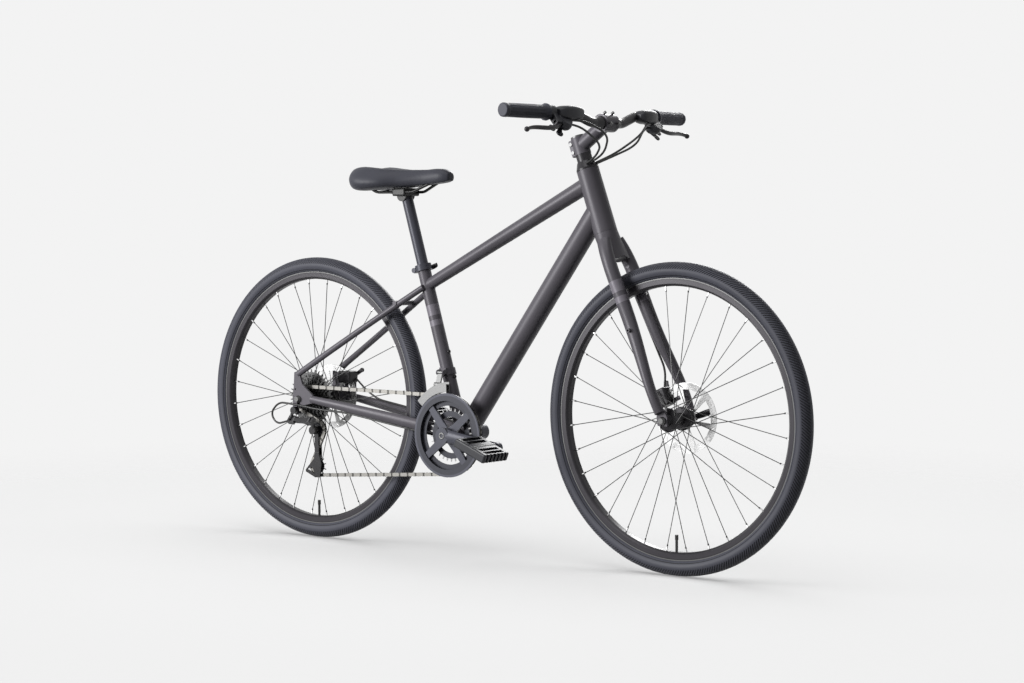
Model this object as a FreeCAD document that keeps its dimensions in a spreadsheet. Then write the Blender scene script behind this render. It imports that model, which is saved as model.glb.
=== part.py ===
import FreeCAD, Part
import Sketcher
import math
import os
from types import SimpleNamespace

from FreeCAD import Placement, Rotation
from FreeCAD import Vector as V

# A hybrid bike: rigid fork, disc brakes, two chainrings and an eight-speed cassette.
# Millimetres. X points forward, Y to the rider's left and Z up. The origin is on the ground, half-way
# between the two axles. The chain is on the right, so on the -Y side.

SIZES = {
    # wheels
    "wheel_base": 1088.0,
    "bead_radius": 311.0,
    "tyre_section": 40.0,
    "tyre_wall": 3.0,
    "tyre_fit": 0.2,
    "rim_width": 25.0,
    "rim_wall": 1.6,
    "rim_flange": 7.0,
    "rim_well": 4.0,
    "rim_depth": 14.0,
    "rim_nose_width": 14.0,
    "spoke_count": 32,
    "spoke_crossing": 3,
    "spoke_radius": 1.0,
    "nipple_radius": 1.9,
    "nipple_length": 12.0,
    "valve_radius": 3.9,
    "valve_length": 38.0,
    "hub_shell_radius": 14.0,
    "hub_flange_radius": 27.0,
    "hub_flange_thickness": 3.2,
    "spoke_circle_radius": 23.0,
    "running_fit": 0.05,
    "front_flange_right": 33.0,
    "front_flange_left": 20.0,
    "rear_flange_right": 19.0,
    "rear_flange_left": 30.0,
    # axles
    "front_axle_width": 100.0,
    "rear_axle_width": 135.0,
    "axle_radius": 5.0,
    "locknut_radius": 8.5,
    "locknut_length": 3.0,
    "dropout_thickness": 6.0,
    "dropout_fit": 0.1,
    "skewer_head_radius": 9.0,
    "skewer_head_length": 9.0,
    "quick_lever_length": 52.0,
    # disc brakes
    "rotor_radius": 80.0,
    "rotor_track": 15.0,
    "rotor_thickness": 1.8,
    "rotor_bore": 17.0,
    "front_rotor_inset": 10.5,
    "rear_rotor_inset": 15.5,
    "pad_gap": 0.4,
    "pad_thickness": 4.0,
    "caliper_length": 42.0,
    "caliper_depth": 30.0,
    "caliper_width": 34.0,
    # frame
    "bottom_bracket_reach": 468.0,
    "bottom_bracket_drop": 66.0,
    "seat_angle": 73.0,
    "seat_tube_length": 420.0,
    "seat_tube_radius": 16.0,
    "seat_post_radius": 13.6,
    "head_angle": 70.4,
    "fork_offset": 46.0,
    "fork_length": 456.0,
    "head_tube_length": 151.0,
    "head_tube_radius": 26.0,
    "head_tube_low_radius": 27.2,
    "bearing_radius": 20.9,
    "bearing_height": 8.0,
    "steerer_radius": 14.3,
    "steerer_wall": 2.2,
    "top_tube_drop": 29.0,
    "top_tube_seat_reach": 368.0,
    "top_tube_head_radius": 19.5,
    "top_tube_seat_radius": 14.0,
    "down_tube_rise": 57.0,
    "down_tube_lead": 9.0,
    "down_tube_radius": 25.5,
    "tube_wall": 1.6,
    "bracket_width": 68.0,
    "bracket_radius": 20.5,
    "bracket_bore": 17.0,
    "cup_flange": 3.5,
    "chainstay_radius": 8.5,
    "chainstay_height": 13.5,
    "seatstay_radius": 7.5,
    "collar_height": 15.0,
    "collar_wall": 4.0,
    "boss_radius": 4.5,
    "eyelet_bore": 2.5,
    # seat
    "post_wall": 2.6,
    "post_insertion": 110.0,
    "post_exposed": 170.0,
    "saddle_length": 277.0,
    "saddle_width": 158.0,
    "saddle_nose_width": 44.0,
    "saddle_height": 918.0,
    "saddle_setback": 311.0,
    "rail_radius": 3.5,
    "rail_spacing": 44.0,
    # fork and cockpit
    "crown_drop": 70.0,
    "leg_radius_top": 15.0,
    "leg_radius_low": 11.0,
    "leg_spread_top": 37.0,
    "head_gap": 0.4,
    "cover_height": 20.0,
    "spacer_height": 18.0,
    "spacer_radius": 18.0,
    "stem_height": 40.0,
    "stem_wall": 4.6,
    "stem_reach": 88.0,
    "stem_rise": 15.7,
    "stem_tube_radius": 16.5,
    "bar_clamp_radius": 15.9,
    "bar_clamp_width": 46.0,
    "bar_radius": 11.1,
    "bar_wall": 2.0,
    "bar_half_width": 339.0,
    "bar_rise": 20.0,
    "bar_sweep": 30.0,
    "grip_length": 132.0,
    "grip_radius": 16.0,
    "grip_flange_radius": 20.0,
    "lever_length": 112.0,
    # drivetrain
    "chain_pitch": 12.7,
    "chain_line": 50.0,
    "roller_radius": 3.85,
    "roller_clearance": 0.2,
    "plate_height": 8.4,
    "plate_thickness": 0.9,
    "plate_inner_gap": 2.6,
    "pin_radius": 1.9,
    "sprocket_thickness": 1.8,
    "tooth_rise": 3.0,
    "tooth_tip_half": 1.0,
    "cog_spacing": 4.8,
    "cog_in_use": 2,
    "freehub_radius": 17.0,
    "lockring_thickness": 2.0,
    "outer_ring_teeth": 46,
    "inner_ring_teeth": 30,
    "ring_spacing": 8.0,
    "outer_ring_bore": 70.0,
    "inner_ring_bore": 43.0,
    "ring_bolt_circle": 52.0,
    "pulley_teeth": 11,
    "crank_length": 170.0,
    "crank_angle": -6.0,
    "spindle_radius": 8.5,
    "spindle_half": 62.0,
    "crank_thickness": 16.0,
    "guard_radius": 100.0,
    "guard_bore": 82.0,
    "guard_thickness": 2.6,
    "pedal_width": 92.0,
    "pedal_length": 100.0,
    "pedal_height": 24.0,
    "pedal_axle_radius": 6.0,
    "guide_x": 44.0,
    "guide_drop": 76.0,
    "cage_length": 90.0,
}

COGS = (11, 13, 15, 18, 21, 24, 28, 34)

doc = FreeCAD.newDocument("hybrid_bike")
sheet = doc.addObject("Spreadsheet::Sheet", "Sizes")
for row, (alias, number) in enumerate(SIZES.items(), 1):
    sheet.set(f"A{row}", alias)
    sheet.set(f"B{row}", str(number))
    sheet.setAlias(f"B{row}", alias)
doc.recompute()


class Dim:
    """A size that carries its value and the sheet expression that it comes from."""

    def __init__(self, value, text):
        self.value = value
        self.text = text

    def mixed(self, sign, other, value):
        return Dim(value, f"({self.text} {sign} {other.text})")

    def __add__(self, other):
        other = as_dim(other)
        return self.mixed("+", other, self.value + other.value)

    def __sub__(self, other):
        other = as_dim(other)
        return self.mixed("-", other, self.value - other.value)

    def __mul__(self, other):
        other = as_dim(other)
        return self.mixed("*", other, self.value * other.value)

    def __truediv__(self, other):
        other = as_dim(other)
        return self.mixed("/", other, self.value / other.value)

    def __neg__(self):
        return Dim(-self.value, f"(0 - {self.text})")


def as_dim(thing):
    return thing if isinstance(thing, Dim) else Dim(float(thing), repr(float(thing)))


# S holds the sizes as expressions on the sheet, N holds them as plain numbers.
N = SimpleNamespace(**{alias: float(sheet.get(alias)) for alias in SIZES})
S = SimpleNamespace(**{alias: Dim(float(sheet.get(alias)), f"Sizes.{alias}") for alias in SIZES})

PARTS = []


def bind(thing, **sizes):
    """Bind properties of a document object to expressions on the sheet."""
    for name, dim in sizes.items():
        thing.setExpression(name, as_dim(dim).text)


def named(thing, label):
    """Make a document object the sub-part of that name."""
    thing.Label = label
    PARTS.append(thing)
    return thing


def feature(label, shape):
    """A sub-part whose solids are worked out by the functions below."""
    made = doc.addObject("Part::Feature", label)
    made.Shape = shape
    return named(made, label)


# Sketched bodies

X_AXIS, Y_AXIS, Z_AXIS = V(1, 0, 0), V(0, 1, 0), V(0, 0, 1)
PLANES = {"XY": "XY_Plane", "XZ": "XZ_Plane", "YZ": "YZ_Plane"}


def sketch_on(body, name, plane, outlines):
    """A sketch of closed outlines, with the place of every corner bound to the sheet."""
    sketch = body.newObject("Sketcher::SketchObject", name)
    origin = next(item for item in body.Origin.OriginFeatures if item.Role == PLANES[plane])
    sketch.AttachmentSupport = [(origin, "")]
    sketch.MapMode = "FlatFace"
    for outline in outlines:
        first = sketch.GeometryCount
        if outline[0] == "circle":
            sketch.addGeometry(Part.Circle(V(), Z_AXIS, outline[1].value))
            sketch.addConstraint(Sketcher.Constraint("Coincident", first, 3, -1, 1))
            place = sketch.addConstraint(Sketcher.Constraint("Radius", first, outline[1].value))
            sketch.setExpression(f"Constraints[{place}]", outline[1].text)
            continue
        corners = [(as_dim(u), as_dim(v)) for u, v in outline]
        points = [V(u.value, v.value, 0) for u, v in corners]
        count = len(points)
        for index in range(count):
            sketch.addGeometry(Part.LineSegment(points[index], points[(index + 1) % count]))
        for index in range(count):
            this, after = first + index, first + (index + 1) % count
            sketch.addConstraint(Sketcher.Constraint("Coincident", this, 2, after, 1))
        for index, (u, v) in enumerate(corners):
            for kind, dim in (("DistanceX", u), ("DistanceY", v)):
                rule = Sketcher.Constraint(kind, -1, 1, first + index, 1, dim.value)
                place = sketch.addConstraint(rule)
                sketch.setExpression(f"Constraints[{place}]", dim.text)
    return sketch


def turned_body(name, *outlines):
    """A body turned about its own Y axis from outlines given as (radius, place along the axis)."""
    body = doc.addObject("PartDesign::Body", name)
    sketch = sketch_on(body, f"{name}_outline", "XY", outlines)
    turn = body.newObject("PartDesign::Revolution", f"{name}_turn")
    turn.Profile = sketch
    turn.ReferenceAxis = (sketch, ["V_Axis"])
    turn.Angle = 360
    body.Tip = turn
    return body


def turned(label, place, *outlines):
    body = turned_body(label, *outlines)
    body.Placement = place
    return named(body, label)


def padded_body(name, thickness, *outlines):
    """A body padded both ways from the XZ plane, from outlines given as (x, z)."""
    body = doc.addObject("PartDesign::Body", name)
    sketch = sketch_on(body, f"{name}_outline", "XZ", outlines)
    pad = body.newObject("PartDesign::Pad", f"{name}_pad")
    pad.Profile = sketch
    pad.SideType = "Symmetric"
    bind(pad, Length=thickness)
    body.Tip = pad
    return body


# Solids placed in the bike's frame



def cylinder(start, end, radius):
    return Part.makeCylinder(radius, (end - start).Length, start, end - start)


def cone(start, end, radius, end_radius):
    return Part.makeCone(radius, end_radius, (end - start).Length, start, end - start)


def pipe_ring(start, end, radius, bore):
    return cylinder(start, end, radius).cut(cylinder(start, end, bore))


def block(centre, along, across, length, width, height):
    """A box about its centre: length runs along, width across, and height square to both."""
    along = V(along).normalize()
    up = along.cross(across).normalize()
    side = up.cross(along)
    box = Part.makeBox(length, width, height, V(-length / 2, -width / 2, -height / 2))
    box.Placement = Placement(centre, Rotation(along, side, up, "ZXY"))
    return box


def soft_block(centre, along, across, length, width, height, rounding):
    box = block(centre, along, across, length, width, height)
    return box.makeFillet(rounding, box.Edges)


def slab(points, y_low, y_high):
    """A plate with its outline given as (x, z), between two places along Y."""
    outline = Part.makePolygon([V(x, y_low, z) for x, z in points + points[:1]])
    return Part.Face(outline).extrude(V(0, y_high - y_low, 0))


def ellipse_wire(centre, along, half_width, half_height, across=Y_AXIS):
    """An oval square to a direction, with its width measured across."""
    along = V(along).normalize()
    up = along.cross(across).normalize()
    side = up.cross(along)
    if abs(half_width - half_height) < 1e-6:
        curve = Part.Circle(V(), Z_AXIS, half_width)
    elif half_width > half_height:
        curve = Part.Ellipse(V(half_width, 0, 0), V(0, half_height, 0), V())
    else:
        curve = Part.Ellipse(V(0, half_height, 0), V(-half_width, 0, 0), V())
    wire = Part.Wire([curve.toShape()])
    wire.Placement = Placement(centre, Rotation(side, up, along, "ZXY"))
    return wire


def oval_loft(stations):
    """A solid through ovals, each given as (centre, direction, half width, half height)."""
    return Part.makeLoft([ellipse_wire(*station) for station in stations], True, False)


def mirrored(shape):
    return shape.mirror(V(), Y_AXIS)


def rounded_path(points, radius):
    """Straight runs joined by tangent arcs of about the given radius."""
    edges = []
    start = points[0]
    for before, corner, after in zip(points, points[1:], points[2:]):
        into = (before - corner).normalize()
        out = (after - corner).normalize()
        half_turn = (math.pi - into.getAngle(out)) / 2
        reach = 0.45 * min((before - corner).Length, (after - corner).Length)
        bend = min(radius, reach / math.tan(half_turn))
        cut = bend * math.tan(half_turn)
        first, last = corner + into * cut, corner + out * cut
        inward = (into + out).normalize()
        middle = corner + inward * (bend / math.cos(half_turn) - bend)
        edges.append(Part.LineSegment(start, first).toShape())
        edges.append(Part.Arc(first, middle, last).toShape())
        start = last
    edges.append(Part.LineSegment(start, points[-1]).toShape())
    return Part.Wire(edges)


def hose(points, radius, bend=1000.0):
    """A round tube along a route, with its bends as large as the route allows."""
    path = rounded_path(points, bend)
    section = Part.Wire([Part.Circle(points[0], points[1] - points[0], radius).toShape()])
    solid = path.makePipeShell([section], True, False)
    wanted = math.pi * radius * radius * path.Length
    if abs(solid.Volume - wanted) > 0.02 * wanted:
        raise ValueError(f"a tube has {solid.Volume:.0f} mm3, not {wanted:.0f}")
    return solid


def largest(shape):
    return max(shape.Solids, key=lambda solid: solid.Volume)


# The main points of the bike

axle_height = N.bead_radius + N.tyre_section
rear_axle_point = V(-N.wheel_base / 2, 0, axle_height)
front_axle_point = V(N.wheel_base / 2, 0, axle_height)
bracket_point = rear_axle_point + V(N.bottom_bracket_reach, 0, -N.bottom_bracket_drop)

seat_turn = math.radians(N.seat_angle)
seat_up = V(-math.cos(seat_turn), 0, math.sin(seat_turn))
head_turn = math.radians(N.head_angle)
head_up = V(-math.cos(head_turn), 0, math.sin(head_turn))
head_ahead = V(math.sin(head_turn), 0, math.cos(head_turn))


def on_seat_tube(reach, ahead=0.0, y=0.0):
    """A point on the seat tube's axis, at a distance from the bottom bracket."""
    forward = V(math.sin(seat_turn), 0, math.cos(seat_turn))
    return bracket_point + seat_up * reach + forward * ahead + Y_AXIS * y


def on_steerer(reach, ahead=0.0, y=0.0):
    """A point by the steering axis: reach is measured up the axis from the height of the front axle."""
    foot = front_axle_point - head_ahead * N.fork_offset
    return foot + head_up * reach + head_ahead * ahead + Y_AXIS * y


head_low = N.fork_length
head_top = head_low + N.head_tube_length
seat_top = N.seat_tube_length
steer_place = Placement(on_steerer(0), Rotation(Y_AXIS, head_up))
seat_place = Placement(bracket_point, Rotation(Y_AXIS, seat_up))
front_place = Placement(front_axle_point, Rotation())
rear_place = Placement(rear_axle_point, Rotation())
bracket_place = Placement(bracket_point, Rotation())


# Main frame: five tubes, mitred where they meet

def frame_tube(name, start, end, radius, end_radius, bore, end_bore):
    """A round tube with its radii bound to the sheet. Returns the outer form and the hollow tube."""
    forms = []
    for kind, first, last in (("outer", radius, end_radius), ("inner", bore, end_bore)):
        straight = abs(first.value - last.value) < 1e-6
        form = doc.addObject("Part::Cylinder" if straight else "Part::Cone", f"{name}_{kind}")
        if straight:
            bind(form, Radius=first)
        else:
            bind(form, Radius1=first, Radius2=last)
        form.Height = (end - start).Length
        form.Placement = Placement(start, Rotation(Z_AXIS, end - start))
        forms.append(form)
    hollow = doc.addObject("Part::Cut", f"{name}_hollow")
    hollow.Base, hollow.Tool = forms
    return forms[0], hollow


def mitred(name, tube, others):
    """The tube with the outer forms of its neighbours cut from its ends."""
    for index, other in enumerate(others):
        cut = doc.addObject("Part::Cut", f"{name}_mitre_{index}")
        cut.Base, cut.Tool = tube, other
        tube = cut
    return tube


def build_main_frame():
    wall = S.tube_wall
    head_form, head_tube = frame_tube(
        "head_tube", on_steerer(head_low), on_steerer(head_top),
        S.head_tube_low_radius, S.head_tube_radius,
        S.bearing_radius, S.bearing_radius)
    seat_bore = S.seat_post_radius + S.running_fit
    seat_form, seat_tube = frame_tube(
        "seat_tube", bracket_point, on_seat_tube(seat_top),
        S.seat_tube_radius, S.seat_tube_radius, seat_bore, seat_bore)
    shell_half = Y_AXIS * (N.bracket_width / 2)
    shell_form, shell = frame_tube(
        "bracket_shell", bracket_point - shell_half, bracket_point + shell_half,
        S.bracket_radius, S.bracket_radius, S.bracket_bore, S.bracket_bore)
    top_form, top_tube = frame_tube(
        "top_tube", on_seat_tube(N.top_tube_seat_reach), on_steerer(head_top - N.top_tube_drop),
        S.top_tube_seat_radius, S.top_tube_head_radius,
        S.top_tube_seat_radius - wall, S.top_tube_head_radius - wall)
    down_form, down_tube = frame_tube(
        "down_tube", bracket_point + V(N.down_tube_lead, 0, 0), on_steerer(head_low + N.down_tube_rise),
        S.down_tube_radius, S.down_tube_radius, S.down_tube_radius - wall, S.down_tube_radius - wall)
    tubes = (
        head_tube,
        shell,
        mitred("seat_tube", seat_tube, [shell_form]),
        mitred("top_tube", top_tube, [head_form, seat_form]),
        mitred("down_tube", down_tube, [head_form, shell_form, seat_form, top_form]),
    )
    doc.recompute()
    solids = [max(tube.Shape.Solids, key=lambda solid: solid.Volume) for tube in tubes]
    return feature("main_frame", Part.makeCompound(solids))


def outer_solid(start, end, radius, end_radius=None):
    """The full outer form of a tube, for cutting what meets it."""
    return cone(start, end, radius, end_radius) if end_radius else cylinder(start, end, radius)


seat_tube_form = outer_solid(bracket_point, on_seat_tube(seat_top), N.seat_tube_radius)
shell_form_solid = outer_solid(
    bracket_point - Y_AXIS * (N.bracket_width / 2), bracket_point + Y_AXIS * (N.bracket_width / 2),
    N.bracket_radius)

# Where the two brake calipers sit: the front one behind the left leg, the rear one on the left chainstay

FRONT_CALIPER_LEAN = -24.0
REAR_CALIPER_LEAN = 90.0
POST_SPACING = 26.0
POST_OUTBOARD = 11.0
front_caliper_point = front_axle_point + V(-60, N.front_axle_width / 2 - N.front_rotor_inset, 44)
rear_caliper_point = rear_axle_point + V(51, N.rear_axle_width / 2 - N.rear_rotor_inset, 51)


def caliper_posts(centre, lean, reach):
    """The two posts that a caliper is bolted to, from its back towards the frame or fork."""
    up = V(math.sin(math.radians(lean)), 0, math.cos(math.radians(lean)))
    behind = Y_AXIS.cross(up)
    posts = []
    for sign in (-1, 1):
        face = centre + behind * (N.caliper_depth / 2) + up * sign * POST_SPACING / 2 + Y_AXIS * POST_OUTBOARD
        posts.append(cylinder(face, face + behind * reach, 4.8))
    return posts


# The rear triangle: two chainstays, two seatstays, a bridge and the two dropouts

rear_inner = N.rear_axle_width / 2
rear_outer = rear_inner + N.dropout_thickness
stay_y = rear_inner + N.dropout_thickness / 2
HANGER = (-8.0, -28.0)
HANGER_BORE = 5.0
CHAINSTAY_LINE = (
    bracket_point + V(-6, -20, 1),
    rear_axle_point + V(329, -42, -42),
    rear_axle_point + V(40, -stay_y, 1),
)


def from_rear_axle(x, z, y=0.0):
    return rear_axle_point + V(x, y, z)


def dropout(with_hanger):
    """A rear dropout plate in its own place on the right, with an open slot for the axle."""
    front = [(-14, 66), (0, 70), (13, 36), (47, 11), (47, -8), (18, -15), (6, -15)]
    hanger = [(6, -20), (2, -36), (-8, -40), (-18, -34), (-20, -20), (-18, 0)]
    plain = [(-12, -15), (-18, 0)]
    outline = [(rear_axle_point.x + x, rear_axle_point.z + z)
               for x, z in front + (hanger if with_hanger else plain)]
    plate = slab(outline, -rear_outer, -rear_inner)
    slot_radius = N.axle_radius + N.dropout_fit
    far = Y_AXIS * rear_outer * 2
    plate = plate.cut(cylinder(rear_axle_point - far, rear_axle_point, slot_radius))
    mouth = block(from_rear_axle(0, -15, -stay_y), X_AXIS, Y_AXIS, 2 * slot_radius, 20, 30)
    plate = plate.cut(mouth)
    eyelet = from_rear_axle(-11, 24)
    plate = plate.cut(cylinder(eyelet - far, eyelet, N.eyelet_bore))
    if with_hanger:
        bolt = from_rear_axle(*HANGER)
        plate = plate.cut(cylinder(bolt - far, bolt, HANGER_BORE))
    return plate


def chainstay(plate):
    """The right chainstay, flattened where it passes the tyre."""
    start, knee, end = CHAINSTAY_LINE
    stay = oval_loft([
        (start, knee - start, N.chainstay_radius, N.chainstay_height),
        (knee, end - start, N.chainstay_radius, N.chainstay_height),
        (end, end - knee, 6.5, 9.0),
    ])
    return stay.cut(shell_form_solid).cut(seat_tube_form).cut(plate)


def seatstay(plate):
    start = on_seat_tube(N.top_tube_seat_reach - 4, 0, -N.seat_tube_radius - 2)
    knee = rear_axle_point + V(255, -37, 218)
    end = rear_axle_point + V(-3, -stay_y, 62)
    stay = oval_loft([
        (start, knee - start, N.seatstay_radius, N.seatstay_radius),
        (knee, end - start, N.seatstay_radius, N.seatstay_radius),
        (end, end - knee, 6.5, 8.0),
    ])
    return stay.cut(seat_tube_form).cut(plate)


def build_rear_stays():
    right_plate, left_plate = dropout(True), mirrored(dropout(False))
    right_chain = chainstay(right_plate)
    left_chain = mirrored(chainstay(mirrored(left_plate)))
    right_seat = seatstay(right_plate)
    left_seat = mirrored(seatstay(mirrored(left_plate)))
    bridge_at = rear_axle_point + V(288, 0, 243)
    bridge = cylinder(bridge_at - Y_AXIS * 40, bridge_at + Y_AXIS * 40, 6.0)
    bridge = bridge.cut(right_seat).cut(left_seat)
    bridge = min(bridge.Solids, key=lambda solid: abs(solid.CenterOfMass.y))
    solids = [right_plate, left_plate, bridge]
    left_chain = left_chain.fuse(caliper_posts(rear_caliper_point, REAR_CALIPER_LEAN, 34.0)).removeSplitter()
    for stay in (right_chain, left_chain, right_seat, left_seat):
        solids.append(largest(stay))
    return feature("rear_stays", Part.makeCompound(solids))


build_main_frame()
build_rear_stays()

# Wheels, each turned about its axle

rim_top = S.bead_radius + S.rim_flange
rim_nose = S.bead_radius - S.rim_depth
rim_nose_radius = N.bead_radius - N.rim_depth


def build_tyre(name, place):
    """A hollow ring, cut away where the rim lies between its two edges."""
    about_axle = Placement(place.Base, Rotation(Z_AXIS, Y_AXIS))
    rings = []
    for kind, section in (("outside", S.tyre_section / 2), ("inside", S.tyre_section / 2 - S.tyre_wall)):
        ring = doc.addObject("Part::Torus", f"{name}_{kind}")
        bind(ring, Radius1=S.bead_radius + S.tyre_section / 2, Radius2=section)
        ring.Placement = about_axle
        rings.append(ring)
    seat = doc.addObject("Part::Cylinder", f"{name}_seat")
    bind(seat, Radius=rim_top + S.tyre_fit, Height=S.rim_width + S.tyre_fit * 2)
    half_seat = Y_AXIS * (N.rim_width / 2 + N.tyre_fit)
    seat.Placement = Placement(place.Base - half_seat, about_axle.Rotation)
    hollow = doc.addObject("Part::Cut", f"{name}_hollow")
    hollow.Base, hollow.Tool = rings
    tyre = doc.addObject("Part::Cut", name)
    tyre.Base, tyre.Tool = hollow, seat
    return named(tyre, name)


def build_rim(name, place):
    """A channel for the tyre on a hollow box section."""
    half, nose_half, wall = S.rim_width / 2, S.rim_nose_width / 2, S.rim_wall
    floor = S.bead_radius - S.rim_well
    shoulder = rim_nose + (S.rim_width - S.rim_nose_width) / 2
    section = [
        (rim_top, -half), (rim_top, wall - half), (floor, wall - half), (floor, half - wall),
        (rim_top, half - wall), (rim_top, half), (shoulder, half), (rim_nose, nose_half),
        (rim_nose, -nose_half), (shoulder, -half),
    ]
    cavity = [
        (floor - wall, wall - half), (floor - wall, half - wall), (shoulder + wall / 2, half - wall),
        (rim_nose + wall, nose_half - wall / 2), (rim_nose + wall, wall / 2 - nose_half),
        (shoulder + wall / 2, wall - half),
    ]
    return turned(name, place, section, cavity)


def prism(start, end, radius, sides=6):
    """A thin rod with a few flat sides."""
    along = end - start
    across = along.cross(Y_AXIS if abs(along.normalize().y) < 0.9 else X_AXIS).normalize()
    corners = [start + Rotation(along, 360 * k / sides).multVec(across) * radius for k in range(sides + 1)]
    return Part.Face(Part.makePolygon(corners)).extrude(end - start)


def wheel_point(place, radius, angle, y):
    return place.Base + V(radius * math.cos(angle), y, radius * math.sin(angle))


SPOKE_CLEAR = 0.7
FLANGE_CLEAR = 1.6


def valve(place):
    """The inner tube's valve, between two spokes at the lowest point of the rim."""
    top = -rim_nose_radius + 0.3
    stem = N.valve_length * 0.7
    at = place.Base
    cap = cylinder(at + V(0, 0, top + stem), at + V(0, 0, top + N.valve_length), N.valve_radius)
    neck = cylinder(at + V(0, 0, top), at + V(0, 0, top + stem), N.valve_radius * 0.8)
    return neck.fuse(cap).removeSplitter()


def build_spokes(name, place, flange_right, flange_left):
    """Crossed spokes from the two hub flanges, alternately leading and trailing, with their nipples
    and the valve."""
    count = int(N.spoke_count)
    sweep = 2 * math.pi * N.spoke_crossing / (count / 2)
    beside = N.hub_flange_thickness / 2 + N.spoke_radius + FLANGE_CLEAR
    solids = [valve(place)]
    for index in range(count):
        side = -1 if index % 2 == 0 else 1
        trailing = -1 if index // 2 % 2 == 0 else 1
        rim_angle = 2 * math.pi * (index + 0.5) / count
        flange_y = -flange_right if side < 0 else flange_left
        head = wheel_point(place, N.spoke_circle_radius, rim_angle + trailing * sweep,
                           flange_y + trailing * beside)
        seat = wheel_point(place, rim_nose_radius - SPOKE_CLEAR, rim_angle, side * N.rim_nose_width / 5)
        joint = seat + (head - seat).normalize() * N.nipple_length
        solids.append(prism(head, joint, N.spoke_radius))
        solids.append(prism(joint, seat, N.nipple_radius))
    return feature(name, Part.makeCompound(solids))


def hub_right_half(flange, half, bore):
    edge = S.hub_flange_thickness / 2
    return [
        (bore, -half), (S.hub_shell_radius * 0.7, -half), (S.hub_shell_radius, -(flange + edge * 3)),
        (S.hub_flange_radius, -(flange + edge)), (S.hub_flange_radius, edge - flange),
        (S.hub_shell_radius, edge * 4 - flange),
    ]


def hub_left_half(flange, half, bore, rotor_face):
    edge = S.hub_flange_thickness / 2
    spigot = S.rotor_bore - S.running_fit
    beyond = rotor_face + S.rotor_thickness * 2
    return [
        (S.hub_shell_radius, flange - edge * 4), (S.hub_flange_radius, flange - edge),
        (S.hub_flange_radius, flange + edge), (S.hub_shell_radius * 1.2, flange + edge * 3),
        (S.hub_shell_radius * 1.6, rotor_face - edge * 2), (S.hub_shell_radius * 1.6, rotor_face),
        (spigot, rotor_face), (spigot, beyond), (S.hub_shell_radius * 0.7, beyond),
        (S.hub_shell_radius * 0.7, half), (bore, half),
    ]


axle_bore = S.axle_radius + S.running_fit
hub_end_gap = S.locknut_length + S.running_fit * 4
front_rotor_face = S.front_axle_width / 2 - S.front_rotor_inset - S.rotor_thickness / 2
rear_rotor_face = S.rear_axle_width / 2 - S.rear_rotor_inset - S.rotor_thickness / 2
freehub_inner = S.rear_flange_right + S.hub_flange_thickness
cassette_inner = (S.chain_line - S.cog_spacing * (len(COGS) - 1 - N.cog_in_use) - S.sprocket_thickness / 2)
cassette_outer = S.chain_line + S.cog_spacing * N.cog_in_use + S.sprocket_thickness / 2
lockring_outer = cassette_outer + S.lockring_thickness


def build_front_hub():
    half = S.front_axle_width / 2 - hub_end_gap
    outline = hub_right_half(S.front_flange_right, half, axle_bore)
    outline += hub_left_half(S.front_flange_left, half, axle_bore, front_rotor_face)
    return turned("front_hub", front_place, outline)


def build_rear_hub():
    """The rear hub, with the drum that carries the cassette on its right end."""
    half = S.rear_axle_width / 2 - hub_end_gap
    edge = S.hub_flange_thickness / 2
    outline = [
        (axle_bore, -half), (S.hub_shell_radius * 0.7, -half), (S.hub_shell_radius * 0.7, -lockring_outer),
        (S.freehub_radius, -lockring_outer), (S.freehub_radius, -freehub_inner),
        (S.hub_shell_radius * 1.5, -freehub_inner),
        (S.hub_flange_radius, -(S.rear_flange_right + edge)),
        (S.hub_flange_radius, edge - S.rear_flange_right),
        (S.hub_shell_radius, edge * 4 - S.rear_flange_right),
    ]
    outline += hub_left_half(S.rear_flange_left, half, axle_bore, rear_rotor_face)
    return turned("rear_hub", rear_place, outline)


def build_axle(name, place, width):
    """An axle with its two locknuts, and the skewer's nut and head outside the dropouts."""
    half, thick = width / 2, S.dropout_thickness
    tip = half + thick + S.skewer_head_length
    outline = [
        (0, -tip), (S.skewer_head_radius * 0.7, -tip), (S.skewer_head_radius, -(half + thick + 2)),
        (S.skewer_head_radius, -(half + thick)), (S.axle_radius, -(half + thick)), (S.axle_radius, -half),
        (S.locknut_radius, -half), (S.locknut_radius, S.locknut_length - half),
        (S.axle_radius, S.locknut_length - half), (S.axle_radius, half - S.locknut_length),
        (S.locknut_radius, half - S.locknut_length), (S.locknut_radius, half), (S.axle_radius, half),
        (S.axle_radius, half + thick), (S.skewer_head_radius, half + thick),
        (S.skewer_head_radius, tip), (0, tip),
    ]
    return turned(name, place, outline)


QUICK_PIVOT_RADIUS = 5.0
FRONT_LEVER_LEAN = 70.0
REAR_LEVER_LEAN = 10.0


def quick_pivot_y(width):
    return width / 2 + N.dropout_thickness + N.skewer_head_length + N.head_gap + QUICK_PIVOT_RADIUS


def build_quick_lever(name, place, width, lean):
    """A quick-release lever, closed, lying up beside the dropout."""
    pivot = place.Base + V(0, quick_pivot_y(width), 0)
    up = V(math.sin(math.radians(lean)), 0, math.cos(math.radians(lean)))
    across = Y_AXIS.cross(up)
    root = cylinder(pivot - across * 8, pivot + across * 8, QUICK_PIVOT_RADIUS)
    length = N.quick_lever_length
    blade = oval_loft([
        (pivot + up * 2, up, 6.0, 3.6, across),
        (pivot + up * length * 0.5 + Y_AXIS * 3, up, 7.5, 2.4, across),
        (pivot + up * length + Y_AXIS * 1, up, 6.0, 2.0, across),
    ])
    return feature(name, root.fuse(blade))


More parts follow.
